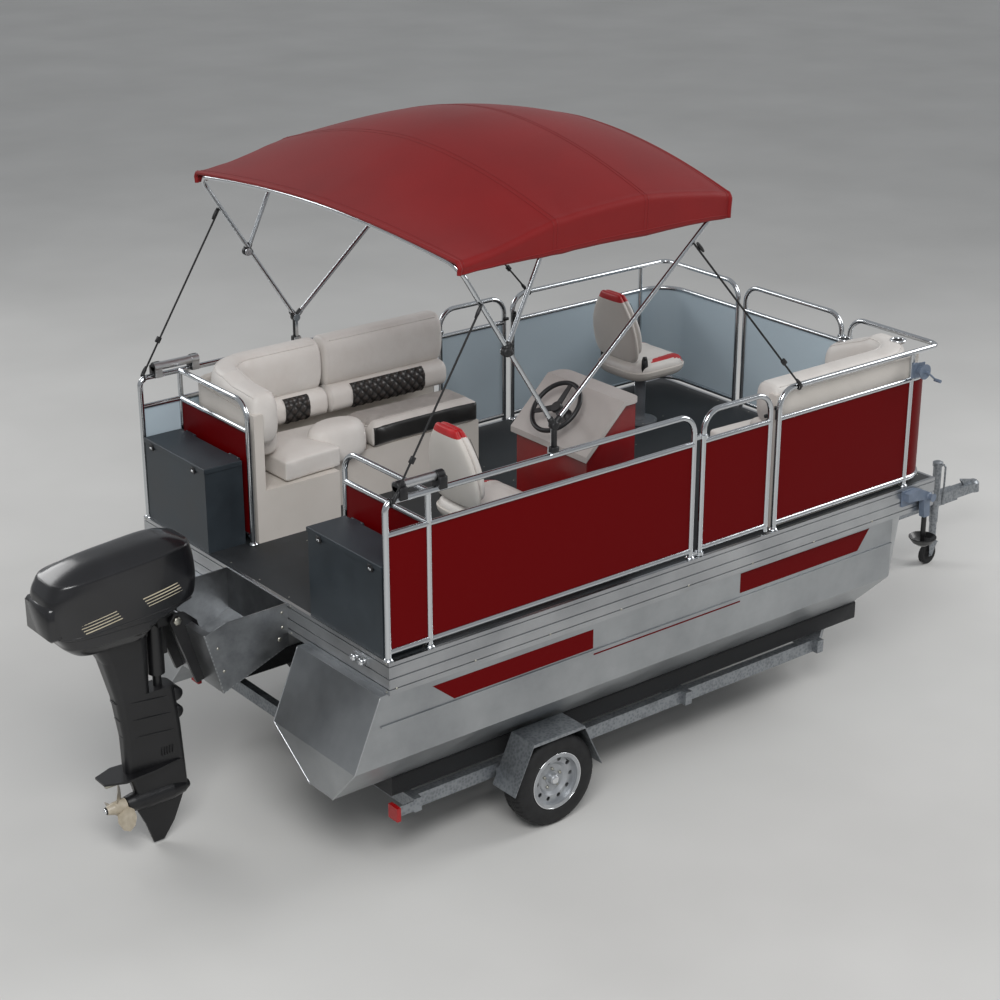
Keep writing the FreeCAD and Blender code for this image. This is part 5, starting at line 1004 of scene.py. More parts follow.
RED_ABOVE = 0.868                       # the backs' heads are red above this height
FOLD_X, FOLD_Z = -0.146, 0.495          # the back's hinge: from the stem and above the deck
BACK_TILT = math.radians(10.0)
CUSHION_HALF, PLAN_POWER = (0.226, 0.221), 4.0   # half sizes and roundness in plan
CUSHION_FOOT, CUSHION_EDGE, CUSHION_CROWN, CUSHION_TOP = 0.394, 0.412, 0.048, 0.4745
SEAM_SIDE, SEAM_FORE, SEAM_WIDE, SEAM_DEEP = 0.56, 0.62, 0.018, 0.0045   # seams: shares of the half sizes
for name in ("helm", "bow"):
    turning, folding = f"chair_{name}_turning", f"chair_{name}_folding"
    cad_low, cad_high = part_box(f"chair_{name}_seat")
    middle_x, middle_y = (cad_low.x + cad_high.x) / 2, (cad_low.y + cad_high.y) / 2
    origin = np.array([middle_x, middle_y, deck_top])

    # moulded tub: a shallow dish with turned-up sides, its corners rounded in plan
    tub_rows = [(0.338, 0, 0, 0.10, 0.10), (0.338, 0, 0, 0.150, 0.150), (0.346, 0, 0, 0.205, 0.200),
                (0.372, 0, 0, 0.226, 0.222), (0.392, 0, 0, 0.2325, 0.2275),
                (0.404, 0, 0, 0.2335, 0.2285), (0.408, 0, 0, 0.229, 0.224), (0.404, 0, 0, 0.222, 0.217),
                (0.390, 0, 0, 0.216, 0.211), (0.380, 0, 0, 0.10, 0.10)]
    tub = stack(tub_rows, 4.2, 56, 60) + origin
    tub_piece = mesh_piece(f"chair_{name}_tub", *capped(tub), shell_plastic, turning, "seat_shell")
    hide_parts(f"chair_{name}_seat")

    # seat cushion: crowned block with a waterfall front edge and bolstered sides
    u, v = np.meshgrid(np.linspace(-1, 1, 61), np.linspace(-1, 1, 61), indexing="ij")
    reach = (np.abs(u) ** PLAN_POWER + np.abs(v) ** PLAN_POWER) ** (1 / PLAN_POWER)
    plan = np.where(reach > 0, np.maximum(np.abs(u), np.abs(v)) / np.maximum(reach, 1e-9), 1.0)
    px, py = u * plan * CUSHION_HALF[0], v * plan * CUSHION_HALF[1]
    radial = np.maximum(np.abs(u), np.abs(v))
    crown = (1 - radial ** 5.0) ** 0.5
    side_lift = 0.016 * bell(np.abs(v), 0.78, 0.16) - 0.010 * np.clip(u - 0.45, 0, 1)
    top = CUSHION_EDGE + (CUSHION_CROWN + side_lift) * crown
    groove = bell(np.abs(v), SEAM_SIDE, SEAM_WIDE) + bell(u, SEAM_FORE, SEAM_WIDE) * (np.abs(v) < SEAM_SIDE)
    top = np.minimum(top - SEAM_DEEP * groove * crown, CUSHION_TOP)
    upper = np.stack([px, py, top], axis=-1) + origin
    lower = np.stack([px, py, np.full_like(px, CUSHION_FOOT)], axis=-1) + origin
    places, faces = thick(upper, lower)
    seat = mesh_piece(f"chair_{name}_cushion", places, faces, vinyl, turning, "upholstery")
    # a red stripe runs forward along each side bolster and tapers to its rear end
    def flashes(centre):
        """Faces of the two stripes: a band on each bolster, its inner edge sloping, cut at its rear end."""
        centre = centre - origin
        outer = np.abs(centre[:, 1]) - 0.136
        inner_edge = 0.016 - 0.10 * np.clip(centre[:, 0], -0.06, 0.10)
        band = (outer > inner_edge) & (outer < 0.054) & (centre[:, 2] > 0.404)
        return band & (centre[:, 0] > -0.085 + 1.4 * (0.054 - outer))

    painted(seat, red_vinyl, flashes)

    def leaned(grid):
        """Turned back about the hinge by the tilt, then set in the frame."""
        moved = grid - np.array([FOLD_X, 0, FOLD_Z])
        c, s = math.cos(-BACK_TILT), math.sin(-BACK_TILT)
        turned_x = c * moved[..., 0] + s * moved[..., 2]
        turned_z = -s * moved[..., 0] + c * moved[..., 2]
        return np.stack([turned_x + FOLD_X, moved[..., 1], turned_z + FOLD_Z], axis=-1) + origin

    # back: a hard shell behind and a crowned pad in front, widest low down and narrow at its head
    shell_rows = [(0.482, -0.196, 0, 0.020, 0.150), (0.490, -0.198, 0, 0.026, 0.168),
                  (0.540, -0.200, 0, 0.028, 0.196), (0.640, -0.202, 0, 0.028, 0.203),
                  (0.740, -0.202, 0, 0.027, 0.186), (0.830, -0.201, 0, 0.025, 0.146),
                  (0.892, -0.199, 0, 0.022, 0.106), (0.918, -0.197, 0, 0.016, 0.090),
                  (0.926, -0.195, 0, 0.006, 0.074)]
    shell = stack(shell_rows, 3.0, 48, 64, leaned)
    back_shell = mesh_piece(f"chair_{name}_back_shell", *capped(shell), shell_plastic, folding,
                            "seat_shell")
    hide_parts(f"chair_{name}_back")
    painted(back_shell, red_vinyl, lambda centre: centre[:, 2] - deck_top > RED_ABOVE)
    pad_rows = [(0.512, -0.160, 0, 0.012, 0.130), (0.518, -0.158, 0, 0.024, 0.150),
                (0.560, -0.155, 0, 0.032, 0.180), (0.650, -0.156, 0, 0.033, 0.190),
                (0.740, -0.158, 0, 0.031, 0.174), (0.825, -0.160, 0, 0.028, 0.136),
                (0.885, -0.163, 0, 0.025, 0.100), (0.910, -0.166, 0, 0.018, 0.086),
                (0.920, -0.170, 0, 0.008, 0.066)]
    pad = stack(pad_rows, 2.7, 48, 72, leaned)
    back_pad = mesh_piece(f"chair_{name}_back_pad", *capped(pad), vinyl, folding, "upholstery")
    painted(back_pad, red_vinyl, lambda centre: centre[:, 2] - deck_top > RED_ABOVE)
    # stitched seams: along the pad's sides and across under its head
    seams = []
    for way in (-1, 1):
        z = np.linspace(0.545, 0.850, 26)
        half = np.interp(z, [row[0] for row in pad_rows], [row[4] for row in pad_rows])
        line = leaned(np.stack([np.full_like(z, -0.1262) - 0.002 * (half / 0.19), way * (half - 0.030), z],
                               axis=-1))
        seams.append(tube(line, 0.0016, 5))
    mesh_piece(f"chair_{name}_stitching", *joined(seams), black_vinyl, folding, "upholstery")

    # hinge cheeks and the bracket between the tub and the stem
    cheeks = []
    for way in (-1, 1):
        middle = origin + np.array([FOLD_X, way * 0.196, FOLD_Z])
        plate = [(-0.024, -0.095), (0.030, -0.095), (0.020, -0.010), (0.012, 0.014), (-0.012, 0.016),
                 (-0.022, -0.006)]
        plate = np.array(plate)
        flat_in = np.stack([middle[0] + plate[:, 0], np.full(6, middle[1] - 0.005),
                            middle[2] + plate[:, 1]], axis=1)
        flat_out = flat_in + np.array([0, 0.010, 0])
        cheeks.append(slab(plate, flat_in, flat_out))
        cheeks.append(dome(middle + np.array([0, way * 0.005, 0]), (0, way, 0), 0.011, 0.006, 12, 3))
    mesh_piece(f"chair_{name}_cheeks", *joined(cheeks), nylon, turning, "black_plastic")
    spider = [block(origin + np.array([-0.145, way * 0.075 - 0.02, 0.322]),
                    origin + np.array([0.145, way * 0.075 + 0.02, 0.340]), 0.003)
              for way in (-1, 1)]
    spider.append(turned([(0.323, 0.0), (0.323, 0.095), (0.330, 0.098), (0.340, 0.098), (0.340, 0.0)],
                         origin, (0, 0, 1), 32))
    mesh_piece(f"chair_{name}_spider", *joined(spider), stem_paint, turning, "pedestal")

# foot flanges are screwed down with six screws each
STEMS = [(1.060, -0.660), (3.350, 0.660)]
FLANGE_BOLTS = 0.103                    # radius of the circle of screws
heads = []
for x, y in STEMS:
    for angle in np.radians(np.arange(0, 360, 60)):
        spot = at(x + FLANGE_BOLTS * math.cos(angle), y + FLANGE_BOLTS * math.sin(angle), 0.0105)
        heads.append(dome(spot, (0, 0, 1), 0.006, 0.003, 8, 3))
mesh_piece("chair_foot_screws", *joined(heads), zinc, ROOT, "pedestal")

# ---------------------------------------------------------------- helm
# A console of gloss red sheet with a plain vacuum-formed pale grey top, glued on round its flange.
# The three-spoke wheel and its column, moulded in black nylon, stand in the sloping top.
console_red = coating("gloss_red_gelcoat", "#8E1013", 0.24, mottle=(2.5, 4.0),
                      tones=[(0.3, "#6E080A"), (0.7, "#820B0E")], grain=(240.0, 2.0, 0.06, 0.0004),
                      Coat_Weight=0.3, Coat_Roughness=0.08)
dress(console_red, "console_body")
formed = coating("vacuum_formed_abs", "#ABA5A1", 0.42, mottle=(3.0, 4.0),
                 tones=[(0.3, "#A19B97"), (0.7, "#B3ADA9")], grain=(600.0, 3.0, 0.25, 0.0003))
dress(formed, "console_top")
dress(nylon, "steering_column", "steering_wheel")

# ---------------------------------------------------------------- canopy
# One sheet of solution-dyed red acrylic canvas, stretched over three hoops by their straps.  Its
# sides hang as short valances, its ends are sewn into sleeves, and a flat-felled seam crosses it.
canvas, tree, where = finish("acrylic_canvas", "#86090C", 0.62, Sheen_Weight=0.06, Sheen_Roughness=0.5,
                             Specular_IOR_Level=0.3)
warp, weft = (waves(tree, where, 620.0, way, 0.4) for way in "XY")
woven = reckoned(tree, "MAXIMUM", warp, weft)
cloud = noise(tree, where, 1.6, 6.0)
tone = toned(tree, cloud, [(0.3, "#740608"), (0.7, "#82090B")])
raised = relief(tree, woven, 0.25, 0.0004)
wire(tree, Base_Color=tone, Normal=raised)
thread, tree, where = finish("polyester_thread", "#7A1214", 0.6)
twist = waves(tree, where, 160.0, "DIAGONAL")
wire(tree, Base_Color=toned(tree, twist, [(0.0, "#5E0D0F"), (1.0, "#8A1618")]))

cloth_low, cloth_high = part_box("canopy_cloth")
CLOTH_HALF = (cloth_high.y - cloth_low.y) / 2
CLOTH_HEM = cloth_low.z
CLOTH_AFT, CLOTH_FORE = cloth_low.x + 0.002, cloth_high.x - 0.002
# Cross-sections: share of the length, rise of the shoulder and of the crown above the hem
HOOPS_AT = np.array([0.0, 0.3324, 1.0])  # shares of the length where the hoops carry the cloth
ROOF_END, BEND_END = 0.86, 0.91           # shares of the half width where the roof and the bend end
CLOTH_BEND = 0.034                      # radius of the shoulder's bend
CLOTH_ROWS = np.array([(0.000, 0.066, 0.139), (0.100, 0.092, 0.196), (0.3324, 0.178, 0.378),
                       (0.666, 0.214, 0.449), (0.900, 0.172, 0.386), (1.000, 0.139, 0.339)])


def eased_rows(share):
    """Rise of shoulder and crown at shares of the length: a cubic through the rows with mean slopes."""
    keys = CLOTH_ROWS[:, 0]
    slopes = np.gradient(CLOTH_ROWS[:, 1:], keys, axis=0)
    index = np.clip(np.searchsorted(keys, share, side="right") - 1, 0, len(keys) - 2)
    wide = (keys[index + 1] - keys[index])
    t = ((share - keys[index]) / wide)[:, None]
    a, b = CLOTH_ROWS[index, 1:], CLOTH_ROWS[index + 1, 1:]
    da, db = slopes[index] * wide[:, None], slopes[index + 1] * wide[:, None]
    places = a * (2 * t ** 3 - 3 * t ** 2 + 1) + b * (3 * t ** 2 - 2 * t ** 3)
    return places + da * (t ** 3 - 2 * t ** 2 + t) + db * (t ** 3 - t ** 2)


def canvas_at(share, across):
    """Places on the cloth.  Across runs from -1 to 1: an arched roof, a rounded shoulder, then a valance.

    The arch falls from the crown as the 1.9th power of its width, and the valance hangs straight
    with a little scallop between the hoops.  Small folds run from the hoops' shoulders.
    """
    rise = eased_rows(share)
    shoulder, crown = rise[:, :1], rise[:, 1:]
    way, out = np.sign(across)[None, :], np.abs(across)[None, :]
    on_roof = np.minimum(out / ROOF_END, 1.0)
    on_bend = np.clip((out - ROOF_END) / (BEND_END - ROOF_END), 0, 1) * np.pi / 2
    on_side = np.clip((out - BEND_END) / (1.0 - BEND_END), 0, 1)
    reach = CLOTH_HALF - CLOTH_BEND
    y = on_roof * reach + CLOTH_BEND * np.sin(on_bend) - 0.006 * np.sin(on_side * np.pi / 2)
    z = shoulder + 0.012 * (1 - on_roof) + (crown - shoulder - 0.012) * (1 - on_roof ** 1.9)
    z = z - CLOTH_BEND * (1 - np.cos(on_bend)) - on_side * (shoulder - CLOTH_BEND)
    hoops = np.min(np.abs(share[:, None] - HOOPS_AT[None, :]), axis=1)[:, None]
    fold = 0.0022 * np.sin(share[:, None] * 74.0 + out * 9.0) * np.exp(-hoops / 0.07) * on_roof ** 6
    sag = np.sin(np.clip(hoops / 0.33, 0, 1) * np.pi)
    slack = -0.006 * sag * on_roof ** 2 * (1 - on_side)
    z = z + fold + slack
    z = CLOTH_HEM + 0.001 + z + 0.006 * sag * on_side
    x = CLOTH_AFT + share[:, None] * (CLOTH_FORE - CLOTH_AFT) + 0 * z
    return np.stack([x, way * y + 0 * z, z], axis=-1)


share = np.linspace(0, 1, 161)
arc = np.concatenate([np.linspace(-1, -0.91, 10), np.linspace(-0.90, -0.87, 6),
                      np.linspace(-0.86, 0.86, 121),
                      np.linspace(0.87, 0.90, 6), np.linspace(0.91, 1, 10)])
sheet_places = canvas_at(share, arc)
canopy = mesh_piece("canopy_canvas", sheet_places.reshape(-1, 3),
                    grid_faces(len(share), len(arc), False).tolist(), canvas, ROOT,
                    "canopy_fabric")
cloth_wall = canopy.modifiers.new("cloth", "SOLIDIFY")
cloth_wall.thickness, cloth_wall.offset = 0.0016, -1.0
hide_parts("canopy_cloth")

# sleeves at both ends, hems along the valances, and two rows of stitching beside each seam
sleeves, stitches = [], []
for end, inset in ((0.0, 0.009), (1.0, -0.009)):
    line = canvas_at(np.array([end]), arc)[0]
    tucked = np.stack([0 * line[:, 0], -np.sign(line[:, 1]) * 0.004 * (np.abs(arc) > 0.88),
                       -0.0075 * (np.abs(arc) <= 0.90)], axis=1)
    sleeves.append(tube(line + np.array([inset, 0, 0]) + tucked, 0.0125, 10))
for way in (-1, 1):
    line = canvas_at(share, np.array([way * 0.985]))[:, 0]
    sleeves.append(tube(line + np.array([0, -way * 0.001, 0]), 0.004, 8))
for at_share in (0.018, 0.3254, 0.3394, 0.660, 0.672, 0.982):
    line = canvas_at(np.array([at_share]), arc)[0]
    stitches.append(tube(line + np.array([0, 0, 0.0006]), 0.0011, 5))
sleeve_piece = mesh_piece("canopy_hems", *joined(sleeves), canvas, ROOT, "canopy_fabric")
stitch_piece = mesh_piece("canopy_stitching", *joined(stitches), thread, ROOT, "canopy_fabric")

# ---------------------------------------------------------------- canopy rigging
# Bright-dipped aluminium hoops meet in moulded black jaw slides and deck hinges, and black
# polyester webbing with hooks and ladder buckles holds them down to the top rails.
dress(rail, "canopy_hoops")
webbing, tree, where = finish("polyester_webbing", "#0D0D0E", 0.62)
ribs = waves(tree, where, 260.0, "Z")
wire(tree, Base_Color=toned(tree, ribs, [(0.0, "#070708"), (1.0, "#141416")]),
     Normal=relief(tree, ribs, 0.4, 0.0005))
dress(webbing, "canopy_straps")

HINGE_Y, RAIL_TOP = 1.195, 0.840        # the deck hinges from the centre line, and the top rails' height
HUB, JOINT = np.array([1.070, 1.005]), np.array([0.760, 1.455])
LEG_HEADS = {"aft": np.array([0.4715, 1.9265]), "middle": np.array([1.050, 2.040]),
             "fore": np.array([2.2285, 1.9995])}


def collar(foot, head, low, high, radius, side):
    """A moulded collar round a hoop's leg, between two distances from the leg's foot."""
    line = head - foot
    line = line / np.linalg.norm(line)
    ends = [foot + line * low, foot + line * high]
    path = np.array([at(ends[0][0] * (1 - s) + ends[1][0] * s, side,
                        ends[0][1] * (1 - s) + ends[1][1] * s) for s in np.linspace(0, 1, 9)])
    return tube(path, radius * (1 - 0.10 * np.linspace(-1, 1, 9) ** 8), 16)


fittings = []
joint_reach = np.linalg.norm(JOINT - HUB)
side_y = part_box("canopy_hoops")[1].y - 0.017      # the middle of the hoops' legs
for way in (-1, 1):
    y = way * side_y
    fittings.append(collar(HUB, LEG_HEADS["aft"], -0.006, 0.050, 0.0175, y))
    fittings.append(collar(HUB, LEG_HEADS["fore"], 0.004, 0.056, 0.0175, y))
    fittings.append(collar(HUB, LEG_HEADS["aft"], joint_reach - 0.030, joint_reach + 0.030, 0.0182, y))
    fittings.append(collar(JOINT, LEG_HEADS["middle"], 0.006, 0.052, 0.0172, y))
    for place in (HUB, JOINT):
        fittings.append(turned([(-0.0195, 0.0), (-0.0195, 0.012), (-0.016, 0.0235), (0.016, 0.0235),
                                (0.0195, 0.012), (0.0195, 0.0)],
                               at(place[0], y, place[1]), (0, 1, 0), 24))
    for half, foot, head in (((0.024, 0.0185, 0.0), 0.858, 0.890), ((0.012, 0.0135, 0.0), 0.880, 0.990)):
        fittings.append(block(at(HUB[0], way * HINGE_Y, foot) - half,
                              at(HUB[0], way * HINGE_Y, head) + half, 0.004))
mesh_piece("hoop_fittings", *joined(fittings), nylon, ROOT, "black_plastic")

# strap ends: a hook on the rail, a snap hook on the leg, and a ladder buckle on the webbing
STRAPS = [((0.5936, 1.730), 0.045), ((2.0100, 1.800), 2.850)]   # place on the leg, place on the rail
hooks, buckles = [], []
for head, foot_x in STRAPS:
    for way in (-1, 1):
        top = at(head[0], way * (side_y + 0.018), head[1])
        foot = at(foot_x, way * 1.2165, RAIL_TOP)
        line = (top - foot) / np.linalg.norm(top - foot)
        hooks.append(tube(np.array([foot + line * s for s in (0.0, 0.02, 0.045, 0.065)]),
                          np.array([0.0085, 0.011, 0.011, 0.0065]), 12))
        hooks.append(tube(np.array([top - line * s for s in (0.0, 0.02, 0.045, 0.070)]),
                          np.array([0.0065, 0.010, 0.010, 0.0065]), 12))
        ring = np.linspace(0, 2 * np.pi, 25)
        loop = np.stack([0.004 * np.sin(ring), 0.0215 * np.sin(ring), 0.0215 * np.cos(ring)], axis=1)
        hooks.append(tube(at(foot_x, way * HINGE_Y, RAIL_TOP) + loop, 0.0055, 8))
        middle = foot + line * 0.23
        across = np.cross(line, np.array([0, 1.0, 0]))
        across = across / np.linalg.norm(across)
        turned_axes = np.array([line, across, [0, 1.0, 0]])
        places, faces = block((-0.018, -0.014, -0.008), (0.018, 0.014, 0.008), 0.002)
        buckles.append((places @ turned_axes + middle, faces))
mesh_piece("strap_hooks", *joined(hooks), nylon, ROOT, "black_plastic")
mesh_piece("strap_buckles", *joined(buckles), nylon, ROOT, "black_plastic")

# canopy rests: drawn aluminium tubes held in black end brackets on the aft rails
satin = coating("satin_aluminium", "#C9CACB", 0.34, mottle=(60.0, 3.0), gloss=(0.28, 0.42), Metallic=1.0)
dress(satin, "canopy_rests")
REST_ENDS = [(0.0932, 0.1418), (0.3332, 0.3818)]   # the two brackets' lengths along the deck
REST_Y, REST_Z, REST_FOOT = 1.170, 0.900, (1.1445, 1.2125)
brackets = []
for way in (-1, 1):
    y = way * REST_Y
    for low, high in REST_ENDS:
        path = np.array([at(x, y, REST_Z) for x in np.linspace(low, high, 9)])
        brackets.append(tube(path, 0.0278 * (1 - 0.08 * np.linspace(-1, 1, 9) ** 8), 24))
        brackets.append(block(at(low, way * REST_FOOT[0], 0.837),
                              at(high, way * REST_FOOT[1], 0.903), 0.003))
mesh_piece("rest_brackets", *joined(brackets), nylon, ROOT, "black_plastic")

# ---------------------------------------------------------------- outboard motor
# Satin black painted aluminium leg and brackets under a gelcoated cowl with a lapped top cap.
# Four pale pinstripes run along each side of the cowl, broken where a badge would sit.
motor_black = coating("motor_black_paint", "#131315", 0.38, mottle=(7.0, 5.0),
                      tones=[(0.3, "#0F0F11"), (0.7, "#18181A")], gloss=(0.32, 0.46),
                      grain=(320.0, 3.0, 0.15, 0.0003), Coat_Weight=0.15, Coat_Roughness=0.2)
dress(motor_black, "motor_leg", "motor_bracket", "motor_swivel")
cowl_gel = coating("cowl_gelcoat", "#161618", 0.26, mottle=(5.0, 5.0),
                   tones=[(0.3, "#131315"), (0.7, "#1C1C1F")], grain=(180.0, 2.0, 0.06, 0.0004),
                   Coat_Weight=0.4, Coat_Roughness=0.12)

STEERED = "motor_steered"
COWL_ROWS = [(-0.064, -0.900, 0.0, 0.190, 0.100), (-0.055, -0.890, 0.0, 0.235, 0.124),
             (-0.010, -0.855, 0.0, 0.325, 0.154), (0.020, -0.845, 0.0, 0.352, 0.168),
             (0.100, -0.842, 0.0, 0.406, 0.1745), (0.200, -0.845, 0.0, 0.428, 0.1785),
             (0.300, -0.844, 0.0, 0.420, 0.1755), (0.355, -0.838, 0.0, 0.402, 0.171),
             (0.380, -0.834, 0.0, 0.390, 0.167), (0.388, -0.832, 0.0, 0.372, 0.156),
             (0.408, -0.826, 0.0, 0.325, 0.128), (0.428, -0.818, 0.0, 0.255, 0.096),
             (0.438, -0.812, 0.0, 0.180, 0.066), (0.442, -0.808, 0.0, 0.090, 0.030)]
COWL_POWER = 4.2
CAP_SLOPE, COWL_MID, WAIST, CAP_OVER_WAIST = 0.085, -0.84, 0.05, 0.38


def cowl_lift(x, z):
    """How far a level line rises: a slope along the cowl, from nothing at its waist to full at its cap."""
    return CAP_SLOPE * (x - COWL_MID) * np.clip((z - WAIST) / CAP_OVER_WAIST, 0, 1)


def cowl_lean(grid):
    """Raised towards the front above the waist, and cut up over the brackets at the front of its foot."""
    x, y, z = grid[..., 0], grid[..., 1], grid[..., 2]
    lifted = z + cowl_lift(x, z)
    floor = np.interp(x, [-0.800, -0.690, -0.380], [-0.070, 0.054, 0.147])
    return np.stack([x, y, np.maximum(lifted, floor)], axis=-1) + at(0, 0, 0)


cowl_skin = stack(COWL_ROWS, COWL_POWER, 96, 120, cowl_lean)
cowl = mesh_piece("motor_cowl_skin", *capped(cowl_skin), cowl_gel, STEERED, "cowl")
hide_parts("motor_cowl")


def cowl_ring(height, proud):
    """The cowl's outline at a height, a little proud of it."""
    heights = [row[0] for row in COWL_ROWS]
    middle, half_x, half_y = (np.interp(height, heights, [row[k] for row in COWL_ROWS]) for k in (1, 3, 4))
    wide, deep = superellipse(121, COWL_POWER)
    line = np.stack([middle + (half_x + proud) * wide, (half_y + proud) * deep, np.full(121, height)],
                    axis=1)
    return cowl_lean(np.vstack([line, line[:1]]))


def cowl_side(x, z, side, proud):
    """Places on the cowl's flank: the outline's half width there, solved from the superellipse."""
    z_flat = z - cowl_lift(x, z)
    heights = [row[0] for row in COWL_ROWS]
    middle, half_x, half_y = (np.interp(z_flat, heights, [row[k] for row in COWL_ROWS]) for k in (1, 3, 4))
    y = half_y * (1 - np.clip(np.abs((x - middle) / half_x), 0, 1) ** COWL_POWER) ** (1 / COWL_POWER)
    return np.stack([x, side * (y + proud), z], axis=1) + at(0, 0, 0)


# the parting line of the lower pan, the cap's lapped edge and a moulded swage along each flank
mesh_piece("cowl_parting_seal", *tube(cowl_ring(0.062, -0.0005), 0.0028, 6), nylon, STEERED,
           "black_plastic")
mesh_piece("cowl_cap_edge", *tube(cowl_ring(0.381, -0.0015), 0.0030, 8), cowl_gel, STEERED, "cowl")
swages = []
for side in (-1, 1):
    x = np.linspace(-1.215, -0.480, 60)
    swages.append(tube(cowl_side(x, 0.090 + 0.055 * (x + 0.85), side, -0.0035), 0.0065, 8))
mesh_piece("cowl_swages", *joined(swages), cowl_gel, STEERED, "cowl")
cream = coating("cream_vinyl_film", "#C9BFA6", 0.42, mottle=(30.0, 4.0),
                tones=[(0.3, "#BDB39A"), (0.7, "#D2C8B0")])
STRIPE_RUNS = [(-1.130, -0.925), (-0.775, -0.570)]   # fore and aft ends of the top stripe's two runs
STRIPE_Z, STRIPE_PITCH, STRIPE_SHIFT, STRIPE_SLOPE = 0.158, 0.0175, 0.010, 0.155
stripes = []
for side in (-1, 1):
    for low, high in STRIPE_RUNS:
        for step in range(4):
            x = np.linspace(low, high, 40) + STRIPE_SHIFT * step
            z = STRIPE_Z + STRIPE_PITCH * (1.5 - step) + STRIPE_SLOPE * (x + 0.85)
            stripes.append(tube(cowl_side(x, z, side, 0.0002), 0.0034, 6, 0.22))
mesh_piece("cowl_pinstripes", *joined(stripes), cream, STEERED, "cowl")
step_low, step_high = at(-1.281, -0.130, 0.070), at(-1.190, 0.130, 0.258)
mesh_piece("cowl_rear_step", *block(step_low, step_high, 0.018), cowl_gel, STEERED, "cowl")

# cast bands round the leg, cooling-water louvres, anode and the two mounting lobes at its front
LEG_BANDS = [(-0.440, -0.7290, 0.1715, 0.0615), (-0.545, -0.7140, 0.1705, 0.0575),
             (-0.650, -0.6990, 0.1695, 0.0525)]   # height, middle, half length and half width
bands = []
for z, middle, half_x, half_y in LEG_BANDS:
    wide, deep = superellipse(65, 3.4)
    ring = np.stack([middle + half_x * wide, half_y * deep, z - 0.10 * half_x * wide], axis=1) + at(0, 0, 0)
    bands.append(tube(np.vstack([ring, ring[:1]]), 0.0042, 8))
for z in (-0.470, -0.575):
    bands.append(turned([(-0.046, 0.0), (-0.046, 0.028), (-0.038, 0.040), (0.038, 0.040),
                         (0.046, 0.028), (0.046, 0.0)],
                        at(-0.548 + 0.03 * (z + 0.47), 0, z), (0, 1, 0), 28))
for side in (-1, 1):
    for k in range(5):
        bands.append(block(at(-0.660 + 0.016 * k, side * 0.0475 - 0.003, -0.800),
                           at(-0.654 + 0.016 * k, side * 0.0475 + 0.003, -0.752), 0.0012))
mesh_piece("leg_castings", *joined(bands), motor_black, STEERED, "motor_black")
zinc_anode = block(at(-0.985, -0.012, -0.905), at(-0.900, 0.012, -0.866), 0.005)
mesh_piece("trim_anode", *zinc_anode, zinc, STEERED, "rail_tube")

# bracket hardware: tilt-tube nuts and the clamp screws' cross handles
tilting = []
for side in (-1, 1):
    tilting.append(turned([(0.0, 0.0), (0.0, 0.022), (0.010, 0.024), (0.014, 0.018), (0.014, 0.0)],
                          at(-0.560, side * 0.119, -0.010), (0, side, 0), 6))
mesh_piece("tilt_tube_nuts", *joined(tilting), zinc, ROOT, "rail_tube")
screws = []
for side in (-1, 1):
    y = side * 0.107
    shaft = [at(-0.345, y, -0.203 + s) for s in np.linspace(-0.052, 0.052, 9)]
    screws.append(tube(shaft, 0.006, 10))
    screws.append(dome(at(-0.345, y, -0.255), (0, 0, -1), 0.010, 0.008, 12, 4))
    screws.append(dome(at(-0.345, y, -0.151), (0, 0, 1), 0.010, 0.008, 12, 4))
mesh_piece("clamp_handles", *joined(screws), motor_black, ROOT, "motor_black")

# ---------------------------------------------------------------- propeller
# Three blades and a hub of cast bronze under a beige coating, slipped over a rubber bush.
prop_coat = coating("beige_coated_casting", "#B8AD9A", 0.36, mottle=(22.0, 6.0),
                    tones=[(0.3, "#A79C88"), (0.7, "#C4BAA8")], gloss=(0.28, 0.46))
dress(prop_coat, "propeller")
HUB_AFT, HUB_Z = -0.984, -1.040
propeller_nut = turned([(0.0, 0.0), (0.0, 0.0165), (0.012, 0.0165), (0.016, 0.012), (0.016, 0.0)],
                       at(HUB_AFT, 0.0, HUB_Z), (-1, 0, 0), 6)
rubber_bush = turned([(0.0, 0.012), (0.0, 0.0205), (0.003, 0.0205), (0.003, 0.012), (0.0, 0.012)],
                     at(HUB_AFT - 0.0005, 0.0, HUB_Z), (-1, 0, 0), 32)
mesh_piece("propeller_nut", *propeller_nut, chrome, "propeller_body", "rail_tube")
mesh_piece("propeller_bush", *rubber_bush, nylon, "propeller_body", "black_plastic")

# ---------------------------------------------------------------- trailer
# Hot-dip galvanised channel and tube, spangled and dull, with carpeted timber
# bunks, a beam axle welded under the rails, folded fenders and a pressed coupler.
galvanised, tree, where = finish("hot_dip_galvanised_steel", "#8E9296", 0.42, Metallic=0.85)
spangle = add(tree, "ShaderNodeTexVoronoi", {"Vector": where}, {"Scale": 55.0, "Randomness": 1.0})
cloud = noise(tree, where, 9.0, 6.0)
mixed = reckoned(tree, "MULTIPLY", spangle.outputs["Distance"], cloud)
tone = toned(tree, mixed, [(0.05, "#7D8185"), (0.35, "#9DA1A5")])
rough = ranged(tree, cloud, 0.38, 0.58)
wire(tree, Base_Color=tone, Roughness=rough)
dress(galvanised, "trailer_frame", "trailer_axle", "trailer_fenders", "trailer_coupler",
      "trailer_winch_stand", "jack_tube", "jack_leg", "jack_fork")
carpet = coating("bunk_carpet", "#17181A", 0.95, mottle=(480.0, 5.0),
                 tones=[(0.35, "#101113"), (0.7, "#242527")], grain=(480.0, 5.0, 0.9, 0.0015),
                 Sheen_Weight=0.2)
dress(carpet, "trailer_bunks")
lens, tree, where = finish("red_acrylic_lens", "#B01216", 0.1, Transmission_Weight=0.15)
wire(tree, Normal=relief(tree, waves(tree, where, 60.0, "Z"), 0.6, 0.001))
